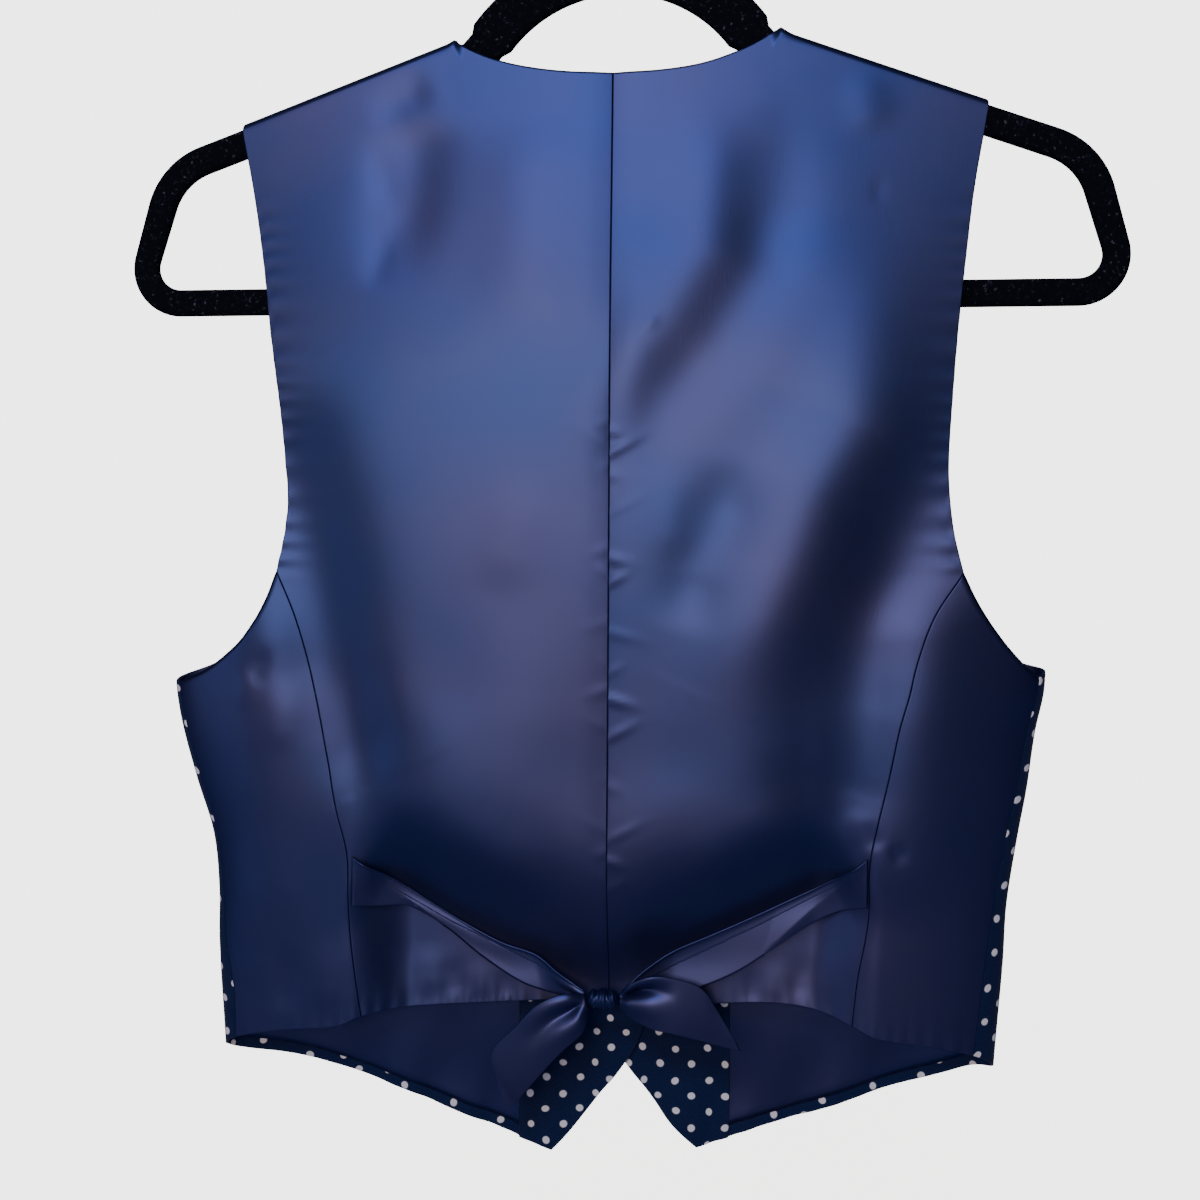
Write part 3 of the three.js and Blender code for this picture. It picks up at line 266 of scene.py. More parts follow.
# Seams and edges as rows of left distance, left z, right distance, right z.
neckline = [(0, -127.8, 0, -127.8), (20, -126.8, 20, -127.2), (38, -124.2, 38, -124.8), (52, -120.6, 54, -119.8),
            (62, -116.6, 64, -115.2), (69.4, -112.6, 71.6, -110.6)]
neckPoint = {"left": 70.4, "right": 72.6}
shoulderTip = {"left": 166.6, "right": 162}
armhole = [(147.8, -347, 151.2, -347), (144.6, -331, 147.4, -331), (143.2, -315, 145.4, -315),
           (144.4, -300, 144.8, -300), (147.2, -270, 146.4, -270), (151.6, -240, 149, -240),
           (155.6, -210, 152.4, -210), (160.6, -180, 156.2, -180)]
underarm = [(147.8, -347, 151.2, -347), (152.6, -360, 157.3, -359.5), (158.4, -370.6, 164.4, -370.5),
            (166.6, -380.6, 172, -380), (181, -391.2, 179.5, -387.6), (194.5, -397.4, 184.6, -391.4)]
princess = [(108.5, -543, 105.2, -541), (111.9, -520, 107.6, -520), (114.3, -495, 111.9, -495),
            (114.9, -472, 112.1, -472), (119.2, -455, 115.4, -455), (124, -430, 121.1, -430),
            (129, -405, 126.9, -405), (133.8, -385, 131.9, -385), (140, -365, 139.4, -365),
            (147.8, -347, 151.2, -347)]
sideSeam = [(167.4, -556, 157.2, -553.6), (168, -535, 159.6, -535), (171.6, -515, 161.9, -515),
            (173.6, -490, 165.5, -490), (176.8, -465, 169.4, -465), (184, -440, 175, -440),
            (191.3, -415, 179.2, -415), (194.5, -397.4, 184.6, -391.4)]
centreHem = [(0, -532.4, 0, -532.4), (40, -534.4, 40, -533), (75, -536.6, 74, -531.8),
             (93, -538.6, 91, -534.4), (108.5, -543, 105.2, -541)]
sideHem = [(108.5, -543, 105.2, -541), (120, -548, 115.4, -546.2), (143, -550.6, 134, -548.8),
           (167.4, -556, 157.2, -553.6)]
frontUnderarm = [(184, -389.6, 177.5, -385), (169, -380.6, 167, -378), (155, -364, 156, -363),
                 (146, -347, 148, -347), (140.5, -322, 142, -322), (139.5, -295, 140, -295),
                 (143, -262, 142.5, -262), (149, -226, 147, -226), (158, -184, 154.5, -184)]
underarmFold = {"left": -396, "right": -388.6}
frontHem = [(165, -564.4, 159, -561.6), (150, -567, 147, -566.4), (130, -572, 128, -573.4),
            (110, -578.6, 108, -581.2), (88, -586.6, 88, -588.8), (66, -595.6, 68, -595.6)]
hemAtFold = {"left": -560.6, "right": -559.8}
frontPoint = {"left": (33, -608.8), "right": (32.4, -606)}  # from the line of buttons, and z
facingFoot = {"left": (47.4, -603.8), "right": (46.6, -601.2)}
cutaway = [(22.3, -597.3), (14, -586), (4.6, -574.6), (-4.4, -561), (-8.4, -551)]
facingEdge = [(47, -580), (47, -500), (47, -430), (49, -385), (55, -333), (67, -280), (83, -215), (97, -160)]
frontEdge = {"top": -352, "bottom": -543, "neckCross": -333}
facingShoulder = 38
foldStrip = 6
# Folds that the solids have too: width, height, the shares of its length over which it fades in and
# out, and its line in x and z. A trough has a height below nought.
backFolds = [
    (16, 1.1, 0.2, 0.4, [(44, -132), (42, -174), (40, -209), (24, -232), (11, -248), (-6, -285), (-16, -325)]),
    (17, -1.5, 0.3, 0.4, [(60, -128), (65, -150), (66, -190), (62, -214), (42, -250), (22, -272), (6, -300),
                          (-2, -335)]),
    (13, -1.2, 0.3, 0.3, [(50, -296), (46, -320), (36, -345), (28, -375)]),
    (25, 3.2, 0.4, 0.3, [(112, -190), (111, -235), (106, -285), (88, -315), (78, -345), (66, -370),
                         (48, -404), (33, -440)]),
    (23, -4.0, 0.4, 0.15, [(146, -262), (138, -297), (123, -333), (110, -370), (98, -404), (90, -440), (86, -464)]),
    (24, 2.2, 0.2, 0.2, [(128, -345), (132, -400), (130, -450), (122, -500)]),
    (20, 0.9, 0.3, 0.4, [(-38, -140), (-40, -200), (-42, -250)]),
    (16, -1.5, 0.2, 0.5, [(-90, -142), (-92, -180), (-102, -230)]),
    (22, -3.8, 0.2, 0.2, [(-152, -256), (-147, -297), (-138, -325), (-132, -350), (-126, -386), (-116, -410),
                          (-100, -439), (-92, -458)]),
    (20, 2.0, 0.2, 0.2, [(-158, -345), (-160, -400), (-160, -460), (-156, -520)]),
    (26, 1.0, 0.5, 0.5, [(-44, -350), (-40, -410), (-32, -470)]),
    (22, -4.0, 0.06, 0.06, [(-112, -476), (-70, -498), (-20, -521), (-4, -526), (12, -521), (66, -495),
                            (106, -473)])]
frontFolds = [
    (26, 2.4, 0.15, 0.15, [(92, -190), (70, -340)]), (24, -2.4, 0.15, 0.15, [(118, -240), (104, -360)]),
    (26, -2.2, 0.15, 0.15, [(128, -390), (88, -480)]), (26, 2.2, 0.15, 0.15, [(-96, -180), (-74, -350)]),
    (24, -2.6, 0.15, 0.15, [(-122, -250), (-108, -380)]), (26, 2.0, 0.15, 0.15, [(-132, -400), (-92, -500)])]
# Finer creases of the back, only here: from x, z to x, z, width and height.
creaseRows = [
    (-100, -446, -24, -488, 14, 1.4),
    (98, -442, 22, -484, 14, 1.4), (-113, -149, -81, -132, 8, -0.6), (-108, -152, -101, -190, 6, -0.3),
    (-101, -190, -108, -226, 6, -0.25), (114, -174, 112, -190, 3, -0.1),
    (104, -128, 112, -160, 9, 0.4), (11, -243, 19, -237, 2, 0.25), (-152, -380, -162, -398, 5, -0.7),
    (-160, -388, -166, -410, 5, 0.4), (-144, -392, -150, -430, 9, 0.5), (-144, -510, -146, -545, 7, -0.8),
    (-128, -505, -127, -545, 8, 0.6), (-160, -480, -158, -540, 8, 0.5), (108, -452, 113, -466, 4, -0.6),
    (102, -446, 109, -464, 6, 0.4), (128, -466, 117, -468, 4, -0.6), (-101, -505, -99, -533, 6, -0.4),
    (-84, -508, -80, -534, 8, 0.5), (-74, -514, -70, -534, 5, -0.35), (-62, -516, -58, -534, 5, 0.3),
    (-50, -520, -47, -534, 4, -0.3), (96, -500, 90, -533, 7, 0.4), (84, -508, 80, -532, 5, -0.35),
    (72, -512, 70, -532, 5, 0.3), (60, -516, 60, -533, 4, -0.3), (-36, -300, -52, -360, 12, 0.3),
    (22, -300, 26, -345, 9, 0.3), (60, -126, 65, -206, 13, 0.5), (47, -300, 34, -368, 11, 0.4)]
backCreases = [(row[4], row[5], 0.5, 0.35, [row[:2], row[2:4]]) for row in creaseRows]
drawnLine = np.array([(-114, -478), (-72, -501), (-20, -525), (-4, -530), (12, -525), (66, -498), (110, -474)], float)
seamPuckers = np.array([-286, -296, -305, -322, -341, -352, -373, -391, -402, -419, -440, -463, -472, -485], float)


def smooth(t):  # 3t2 - 2t3 between nought and one, level outside
    s = np.clip(t, 0, 1)
    return s * s * (3 - 2 * s)


def readColumn(places, values, z):  # cubic Hermite through a column, with slopes between its neighbours
    places, values = np.asarray(places, float), np.asarray(values, float)
    last = len(places) - 1
    low, high = np.maximum(np.arange(last + 1) - 1, 0), np.minimum(np.arange(last + 1) + 1, last)
    slope = (values[high] - values[low]) / (places[high] - places[low])
    z = np.clip(z, places[0], places[-1])
    k = np.clip(np.searchsorted(places, z, side="right") - 1, 0, last - 1)
    span = places[k + 1] - places[k]
    t = (z - places[k]) / span
    return ((2 * t ** 3 - 3 * t ** 2 + 1) * values[k] + (t ** 3 - 2 * t ** 2 + t) * span * slope[k]
            + (3 * t ** 2 - 2 * t ** 3) * values[k + 1] + (t ** 3 - t ** 2) * span * slope[k + 1])


def bodyAt(key, z):
    return readColumn(bodyRows[:, 0], bodyRows[:, bodyColumn[key]], z)


def crestHeight(x):  # a straight slope down from the neck, that climbs a little at the hanger's neck
    away = np.maximum(np.abs(x), form["crestRiseTo"])
    climb = form["crestRise"] * np.maximum(0, form["crestRiseFrom"] - away) ** 1.5
    return form["crestNeck"] - form["crestSlope"] * (away - form["crestNeckX"]) + climb


def softCrest(x):  # the same slope with its corner at the neck rounded off, for what fades in below it
    return form["crestNeck"] + 3 - form["crestSlope"] * (np.sqrt(x ** 2 + 2500) - 87.7)


rollLength = form["rollRadius"] * math.pi / 2
evenPace = (form["evenFrom"] - form["rollRadius"]) / (form["evenFrom"] - rollLength)


def fallOver(along):  # height lost over a length of cloth: a quarter circle, then evenly
    r = form["rollRadius"]
    return np.where(along < rollLength, r * (1 - np.cos(np.minimum(along, rollLength) / r)),
                    np.minimum(along, r + (along - rollLength) * evenPace))


def clothOver(fall):  # the length of cloth that loses a height
    r = form["rollRadius"]
    rolled = r * np.arccos(np.clip(1 - fall / r, -1, 1))
    return np.where(fall <= 0, 0, np.where(fall < r, rolled, np.maximum(fall, rollLength + (fall - r) / evenPace)))


def foldField(folds, x, z):
    # each fold is a bell curve of the distance to its line, that fades in and out along the line
    total = np.zeros_like(x)
    for width, height, fadeIn, fadeOut, line in folds:
        line = np.array(line, float)
        starts = lengthsOf(line)
        nearest, share = np.full_like(x, 1e9), np.zeros_like(x)
        for (fromX, fromZ), (toX, toZ), start, stop in zip(line[:-1], line[1:], starts[:-1], starts[1:]):
            runX, runZ = toX - fromX, toZ - fromZ
            t = np.clip(((x - fromX) * runX + (z - fromZ) * runZ) / (stop - start) ** 2, 0, 1)
            away = (x - fromX - runX * t) ** 2 + (z - fromZ - runZ * t) ** 2
            share = np.where(away < nearest, (start + (stop - start) * t) / starts[-1], share)
            nearest = np.minimum(nearest, away)
        total += height * np.exp(-nearest / width ** 2) * smooth(share / fadeIn) * smooth((1 - share) / fadeOut)
    return total


def lengthsOf(points):
    return np.concatenate([[0], np.cumsum(np.linalg.norm(np.diff(points, axis=0), axis=1))])


def seamField(x, z):
    # the centre-back seam draws the cloth in: a shallow valley, with short slanted puckers that leave it
    off = x - form["centreBack"]
    total = -0.45 * np.exp(-(off / 7) ** 2) - 0.12 * np.exp(-(off / 1.6) ** 2)
    for k, at in enumerate(seamPuckers):
        lean = 0.5 if k % 2 else -0.25
        reach = 7 + 3 * math.sin(k * 2.4)
        strength = 0.3 + 0.16 * math.sin(k * 1.7)
        right = np.exp(-((z - at - lean * off) / 2.1) ** 2 - ((off - reach * 0.35) / reach) ** 2) * (off > 0)
        left = np.exp(-((z - at - 4 + lean * off) / 2.4) ** 2 - ((off + reach * 0.3) / (reach * 0.7)) ** 2) * (off < 0)
        total += strength * (right + 0.45 * left)
    return total


def drawnIn(x, z):
    # the ties draw the cloth in: a bell curve's long slope above their line, under a low swell where the
    # cloth hangs over it; below the line it stays in down to the hem
    above = z - np.interp(x, drawnLine[:, 0], drawnLine[:, 1])
    pull = np.where(above > 0, -9.0 * np.exp(-(above / 27) ** 2) + 3.0 * np.exp(-((above - 58) / 34) ** 2),
                    -9.0 * np.exp(-(above / 70) ** 2) - 3.4 * (1 - np.exp(-(above / 22) ** 2)))
    return pull * smooth((x + 119) / 30) * smooth((115 - x) / 30)


def backRelief(x, z):
    # fine creases, the centre-back seam and the ripples that the hem's stitching leaves
    hem = np.interp(np.abs(x - form["centreBack"]), [0, 40, 75, 93, 108, 120, 143, 167],
                    [-532.4, -533.6, -534.4, -536.6, -542, -547, -549.8, -555])
    ripple = 0.28 * np.sin(x * 0.92 + 1.7 * np.sin(x * 0.11)) * np.exp(-np.maximum(0, z - hem) / 5.5)
    ripple *= 0.5 + 0.5 * np.sin(x * 0.047 + 0.6) ** 2
    rim = np.interp(z, [-347, -331, -315, -300, -270, -240, -210, -180], [148, 145, 143.5, 144, 146.5, 150, 154, 158])
    toRim = rim - np.abs(x - form["centreBack"])
    arm = 0.3 * np.sin(z * 0.62 + 2 * np.sin(z * 0.09 + x * 0.004)) * np.exp(-np.abs(toRim) / 6)
    arm *= smooth((z + 356) / 12) * smooth((-170 - z) / 30)
    return foldField(backCreases, x, z) + seamField(x, z) + ripple + arm + drawnIn(x, z)


def frontRelief(x, z):
    # the hem's stitching leaves a slow ripple; below the back's hem the fronts hang out and in, in soft folds
    ripple = 0.25 * np.sin(x * 0.5 + np.sin(x * 0.13)) * np.exp(-np.maximum(0, z + 590) / 14)
    soft = 1.1 * np.sin(x * 0.1 + z * 0.03) + 0.7 * np.sin(x * 0.19 - z * 0.06 + 1.3)
    low = smooth((-532 - z) / 60)
    return ripple + (4.5 + soft) * low


def clothPoint(side, angle, height, fine=1.0):
    # x runs out from the centre back by reach times the sine of the angle; the depth is a flat ring,
    # the root of 1 - |sine|^5, that opens from hugging the hanger to its full depth, plus the folds;
    # at the top the cloth rolls over the hanger's arm on a quarter circle
    sine = np.sin(np.radians(angle))
    x = form["centreBack"] + side["way"] * bodyAt(side["name"], height) * sine
    crest = crestHeight(x)
    along = np.maximum(0, crest - height)
    below = np.maximum(0, softCrest(x) - height)
    front = angle > 90
    hug = np.where(front, form["hugFront"], form["hugBack"])
    full = np.where(front, bodyAt("front", height), bodyAt("back", height))
    depth = hug + (full - hug) * smooth(below / form["shoulderSpread"])
    shut = smooth((form["ringTop"] - height) / (form["ringTop"] - form["ringShut"]))
    held = hug * (1 - shut)
    ring = np.sqrt(np.maximum(0, 1 - np.abs(sine) ** form["ringPower"]))
    out = held + (depth - held) * ring
    folds = np.where(front, foldField(frontFolds, x, height), foldField(backFolds, x, height))
    out = out + folds * ring * smooth(below / 60)
    lap = smooth((form["lapEnd"] - np.abs(x - form["centreFront"])) / (form["lapEnd"] - form["lapFull"]))
    out = out + np.where(front, side["way"] * form["lapShift"] * lap * smooth(below / 60), 0)
    drop = 0.0
    if fine:
        detail = np.where(front, frontRelief(x, height), backRelief(x, height))
        out = out + fine * detail * np.maximum(ring, 0.35) * smooth(along / 14)
        drop = np.where(front, 0, 0.27 * fine * np.minimum(0, detail))  # what is drawn in hangs lower
    r = form["rollRadius"]
    out = np.where(along < rollLength, out * np.sin(np.minimum(along, rollLength) / r), out)
    return np.stack([x, np.where(front, out, -out), crest - fallOver(along) + drop], axis=-1)


def place(side, distance, z, front=False):  # a place on the cloth as angle and height
    distance = np.asarray(distance, float)
    crest = crestHeight(form["centreBack"] + side["way"] * distance)
    height = crest - clothOver(crest - np.asarray(z, float))
    turn = np.degrees(np.arcsin(distance / bodyAt(side["name"], height)))
    return np.stack([180 - turn if front else turn, height], axis=-1)


def places(side, rows, front=False):
    rows = np.asarray(rows, float)
    return place(side, rows[:, 0 if side["way"] < 0 else 2], rows[:, 1 if side["way"] < 0 else 3], front)


def buttonPlaces(side, rows):  # places on a front by distance from the line of buttons
    rows = np.asarray(rows, float).reshape(-1, 2)
    return place(side, rows[:, 0] + side["way"] * (form["centreFront"] - form["centreBack"]), rows[:, 1], True)


def curveThrough(stops, steps=24):  # centripetal Catmull-Rom through the stops, with mirrored ends
    if len(stops) == 2:
        return stops[0] + (stops[1] - stops[0]) * np.linspace(0, 1, steps)[:, None]
    p = np.vstack([2 * stops[0] - stops[1], stops, 2 * stops[-1] - stops[-2]])
    pace = np.maximum(np.linalg.norm(np.diff(p, axis=0), axis=1) ** 0.5, 1e-4)[:, None]
    a, b, c, d = p[:-3], p[1:-2], p[2:-1], p[3:]
    before, here, after = pace[:-2], pace[1:-1], pace[2:]
    leave = ((b - a) / before - (c - a) / (before + here) + (c - b) / here) * here
    arrive = ((c - b) / here - (d - b) / (here + after) + (d - c) / after) * here
    t = np.linspace(0, 1, steps, endpoint=False)[None, :, None]
    b, c, leave, arrive = (v[:, None, :] for v in (b, c, leave, arrive))
    points = b + leave * t + (3 * c - 3 * b - 2 * leave - arrive) * t ** 2 + (2 * b - 2 * c + leave + arrive) * t ** 3
    return np.vstack([points.reshape(-1, p.shape[1]), stops[-1:]])


def lineAt(side, stops, shares):  # the places at given shares of a line's length on the cloth
    line = curveThrough(np.asarray(stops, float))
    lengths = lengthsOf(clothPoint(side, line[:, 0], line[:, 1], 0))
    want = np.asarray(shares) * lengths[-1]
    return np.stack([np.interp(want, lengths, line[:, k]) for k in (0, 1)], axis=-1)


def chain(*lines):
    return np.vstack([lines[0]] + [line[1:] for line in lines[1:]])


def stations(length, step, start=True, end=True):  # shares of a length, close together at its finished ends
    fine = np.array([0, 0.08, 0.2, 0.34, 0.5, 0.9, 1.7, 3.0])
    low = fine if start else np.array([0.0])
    high = length - fine[::-1] if end else np.array([length])
    middle = np.linspace(low[-1], high[0], max(2, int(round((high[0] - low[-1]) / step))) + 1)[1:-1]
    return np.concatenate([low, middle, high]) / length


def sharesOf(side, line):
    lengths = lengthsOf(clothPoint(side, line[:, 0], line[:, 1], 0))
    return lengths / lengths[-1]


def patch(side, start, end, bottom, top):  # a Coons patch: each edge blended in, less the corners
    v = ((sharesOf(side, start) + sharesOf(side, end)) / 2)[:, None, None]
    u = ((sharesOf(side, bottom) + sharesOf(side, top)) / 2)[None, :, None]
    grid = ((1 - u) * start[:, None] + u * end[:, None] + (1 - v) * bottom[None] + v * top[None]
            - (1 - u) * (1 - v) * bottom[0] - u * (1 - v) * bottom[-1] - (1 - u) * v * top[0] - u * v * top[-1])
    grid[0], grid[-1], grid[:, 0], grid[:, -1] = bottom, top, start, end
    return grid


def withRoll(grid, steps=10):  # more rows on top, over the hanger's arm
    rise = (rollLength * np.arange(1, steps + 1) / steps)[:, None]
    rows = np.stack([np.broadcast_to(grid[-1, :, 0], (steps, grid.shape[1])), grid[-1, :, 1] + rise], axis=-1)
    return np.concatenate([grid, rows])


def unit(vectors):
    return vectors / np.maximum(np.linalg.norm(vectors, axis=-1, keepdims=True), 1e-9)


def gridNormals(points):  # the cross product of the steps across and up
    return unit(np.cross(np.gradient(points, axis=1), np.gradient(points, axis=0)))


def clothNormals(side, grid, fine):  # the cross product of small steps round the body and up
    angle, height = grid[..., 0], grid[..., 1]
    across = clothPoint(side, angle + 0.04, height, fine) - clothPoint(side, angle - 0.04, height, fine)
    up = clothPoint(side, angle, height + 0.1, fine) - clothPoint(side, angle, height - 0.1, fine)
    return unit(np.cross(across, up)) * side["way"]


def rimDistance(points):  # the distance on the cloth to the nearest of the four edges
    stepAcross = np.linalg.norm(np.diff(points, axis=1), axis=-1)
    stepUp = np.linalg.norm(np.diff(points, axis=0), axis=-1)
    zeroColumn, zeroRow = np.zeros((points.shape[0], 1)), np.zeros((1, points.shape[1]))
    fromStart = np.hstack([zeroColumn, np.cumsum(stepAcross, axis=1)])
    fromBottom = np.vstack([zeroRow, np.cumsum(stepUp, axis=0)])
    return np.minimum.reduce([fromStart, fromStart[:, -1:] - fromStart, fromBottom, fromBottom[-1:] - fromBottom])


def makeObject(name, points, faces, material, uv=None):
    mesh = bpy.data.meshes.new(name)
    mesh.from_pydata((points * 0.001).tolist(), [], [list(face) for face in faces])
    mesh.polygons.foreach_set("use_smooth", np.ones(len(mesh.polygons), bool))
    if uv is not None:
        corners = np.zeros(len(mesh.loops), np.int32)
        mesh.loops.foreach_get("vertex_index", corners)
        mesh.uv_layers.new(name="cloth").data.foreach_set("uv", (uv[corners] * 0.001).ravel())
    mesh.materials.append(material)
    piece = bpy.data.objects.new(name, mesh)
    scene.collection.objects.link(piece)
    return piece


def finishPiece(piece, slot, *nodes):
    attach(piece, "root")
    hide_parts(*nodes)
    return piece


def quads(index):  # the quads of a grid of vertex numbers
    return np.stack([index[:-1, :-1], index[:-1, 1:], index[1:, 1:], index[1:, :-1]], axis=-1).reshape(-1, 4)


edgeRadius = 0.42


def layeredMesh(middle, normals, wall, rim, flat, name, material, way):
    # two faces half the wall either side of the middle, that meet on a half ellipse at every edge
    half = wall / 2
    swell = half * np.sqrt(np.clip(1 - (1 - np.minimum(rim / edgeRadius, 1)) ** 2, 0, 1))[..., None]
    outer, inner = middle + normals * swell, middle - normals * swell
    rows, columns = middle.shape[:2]
    outerIndex = np.arange(rows * columns).reshape(rows, columns)
    innerIndex = outerIndex.copy()
    innerIndex[1:-1, 1:-1] = rows * columns + np.arange((rows - 2) * (columns - 2)).reshape(rows - 2, columns - 2)
    faces = [quads(outerIndex), quads(innerIndex)[:, ::-1]]
    if way < 0:
        faces = [face[:, ::-1] for face in faces]
    points = np.vstack([outer.reshape(-1, 3), inner[1:-1, 1:-1].reshape(-1, 3)])
    uv = np.vstack([flat.reshape(-1, 2), flat[1:-1, 1:-1].reshape(-1, 2)])
    return makeObject(name, points, np.vstack(faces), material, uv)


def flatCoordinates(side, grid):
    # across: the length round the body from the centre front, read from a table; up: the height
    angles, heights = np.linspace(200, 0, 201), np.linspace(-620, -100, 131)
    table = clothPoint(side, angles[None, :] + 0 * heights[:, None], heights[:, None] + 0 * angles[None, :], 0)
    lengths = np.hstack([np.zeros((131, 1)), np.cumsum(np.linalg.norm(np.diff(table, axis=1), axis=-1), axis=1)])
    lengths = lengths - lengths[:, 20:21]
    row = np.clip((grid[..., 1] + 620) / 4, 0, 129.999)
    column = np.clip(200 - grid[..., 0], 0, 199.999)
    i, j = row.astype(int), column.astype(int)
    a, b = row - i, column - j
    across = ((1 - a) * (1 - b) * lengths[i, j] + (1 - a) * b * lengths[i, j + 1]
              + a * (1 - b) * lengths[i + 1, j] + a * b * lengths[i + 1, j + 1])
    return np.stack([side["way"] * across, grid[..., 1]], axis=-1)


def clothPiece(name, side, grid, slot, material, wall, inset=0.0, fine=1.0):
    points = clothPoint(side, grid[..., 0], grid[..., 1], fine)
    normals = clothNormals(side, grid, fine)
    middle = points - normals * (inset + wall / 2)
    piece = layeredMesh(middle, normals, wall, rimDistance(points), flatCoordinates(side, grid), name, material,
                        side["way"])
    finishPiece(piece, slot, name)
    return piece


def belowRoll(line):
    return line - np.array([0, rollLength])


def shoulderPlaces(side, start, stop, front):
    distance = np.linspace(start, stop, 5)
    return place(side, distance, crestHeight(form["centreBack"] + side["way"] * distance), front)


panelSteps = {"back": 1.9, "front": 2.6, "inside": 3.0}


def makeBack(side):
    name, step = side["name"], panelSteps["back"]
    neck = places(side, neckline)
    shoulder = shoulderPlaces(side, neckPoint[name], shoulderTip[name], False)
    columns = stations(form["centreBack"] * 0 + 150, step)
    split = 0.42  # share of the columns under the neck
    neckShares = columns[columns < split] / split
    shoulderShares = (columns[columns >= split] - split) / (1 - split)
    top = belowRoll(np.vstack([lineAt(side, chain(neck, shoulder[:1]), neckShares),
                               lineAt(side, shoulder, shoulderShares)]))
    lower, upper = stations(200, step, True, False), stations(230, step, False, False)
    princessLine = lineAt(side, places(side, princess), lower)
    armholeLine = lineAt(side, np.vstack([places(side, armhole), top[-1:]]), upper)
    hem = places(side, centreHem)
    turn = np.array([0, princessLine[-1, 1]])
    centreLine = chain(lineAt(side, [hem[0], turn], lower), lineAt(side, [turn, top[0]], upper))
    bottom = lineAt(side, hem, columns)
    grid = withRoll(patch(side, centreLine, chain(princessLine, armholeLine), bottom, top), 12)
    clothPiece(f"back_centre_{name}", side, grid, "satin", satin, form["shellWall"])

    seam = lineAt(side, places(side, sideSeam), lower)
    across = stations(70, step)
    sideGrid = patch(side, princessLine, seam, lineAt(side, places(side, sideHem), across),
                     lineAt(side, places(side, underarm), across))
    clothPiece(f"back_side_{name}", side, sideGrid, "satin", satin, form["shellWall"])


def makeFront(side):
    name, step = side["name"], panelSteps["front"]
    offset = side["way"] * (form["centreFront"] - form["centreBack"])
    seamStops = places(side, sideSeam)
    split = neckPoint[name] + facingShoulder
    seamRows, armRows = stations(165, step, True, False), stations(330, step, False, False)
    acrossSide, acrossStrip = stations(180, step), stations(45, step)
    topSide = belowRoll(lineAt(side, shoulderPlaces(side, shoulderTip[name], split, True), acrossSide))
    topStrip = belowRoll(lineAt(side, shoulderPlaces(side, split, neckPoint[name], True), acrossStrip))
    fold = np.array([[90, underarmFold[name]]])
    outerEdge = chain(
        lineAt(side, seamStops, seamRows),
        lineAt(side, np.vstack([seamStops[-1:], fold, places(side, frontUnderarm, True), topSide[:1]]), armRows))
    share = 165 / 495
    rows = np.concatenate([seamRows * share, share + armRows[1:] * (1 - share)])
    foot = place(side, facingFoot[name][0] + offset, facingFoot[name][1], True)[None]
    facingLine = lineAt(side, np.vstack([foot, buttonPlaces(side, facingEdge), topStrip[:1]]), rows)
    point = place(side, frontPoint[name][0] + offset, frontPoint[name][1], True)[None]
    edgeBottom = buttonPlaces(side, [(-form["overlap"], frontEdge["bottom"])])
    edgeTop = buttonPlaces(side, [(-form["overlap"], frontEdge["top"])])
    neckOut = neckPoint[name] - offset
    t = np.array([0.02, 0.1, 0.35, 0.65, 0.88])
    neckRows = np.stack([neckOut * t, frontEdge["neckCross"] + (form["crestNeck"] - frontEdge["neckCross"]) * t], -1)
    # the front edge: up the cutaway, the closing and the neck, in shares of its own length
    third = [0, 0.155, 0.535, 1.0]
    pieces = [np.vstack([point, buttonPlaces(side, cutaway), edgeBottom]), np.vstack([edgeBottom, edgeTop]),
              np.vstack([edgeTop, buttonPlaces(side, neckRows), topStrip[-1:]])]
    lines = []
    for k, stops in enumerate(pieces):
        inside = rows[(rows >= third[k]) & ((rows < third[k + 1]) if k < 2 else True)]
        lines.append(lineAt(side, stops, (inside - third[k]) / (third[k + 1] - third[k])))
    frontLine = np.vstack(lines)
    hemFold = np.array([[90, hemAtFold[name]]])
    bottomSide = lineAt(side, np.vstack([seamStops[:1], hemFold, places(side, frontHem, True), foot]), acrossSide)
    bottomStrip = lineAt(side, np.vstack([foot, point]), acrossStrip)
    sideGrid = patch(side, outerEdge, facingLine, bottomSide, topSide)
    stripGrid = patch(side, facingLine, frontLine, bottomStrip, topStrip)
    whole = withRoll(np.concatenate([sideGrid, stripGrid[:, 1:]], axis=1), 12)
    clothPiece(f"front_{name}", side, whole, "dotted", dotted, form["shellWall"])

    inset = form["shellWall"] + form["layerGap"]
    def lowTop(grid):
        lowered = grid.copy()
        lowered[-1, :, 1] -= form["innerStop"]
        return lowered
    turned = np.argmax(clothPoint(side, sideGrid[:, 0, 0], sideGrid[:, 0, 1], 0)[:, 2]
                       > clothPoint(side, sideGrid[0, 0, 0], sideGrid[0, 0, 1], 0)[2] + form["hemTurn"])
    clothPiece(f"front_lining_{name}", side, lowTop(sideGrid[turned:]), "satin", satin, form["liningWall"], inset)
    clothPiece(f"front_facing_{name}", side, lowTop(stripGrid), "dotted", dotted, form["liningWall"], inset)


for side in (leftSide, rightSide):
    makeBack(side)
    makeFront(side)
print("panels made")


# Waist ties

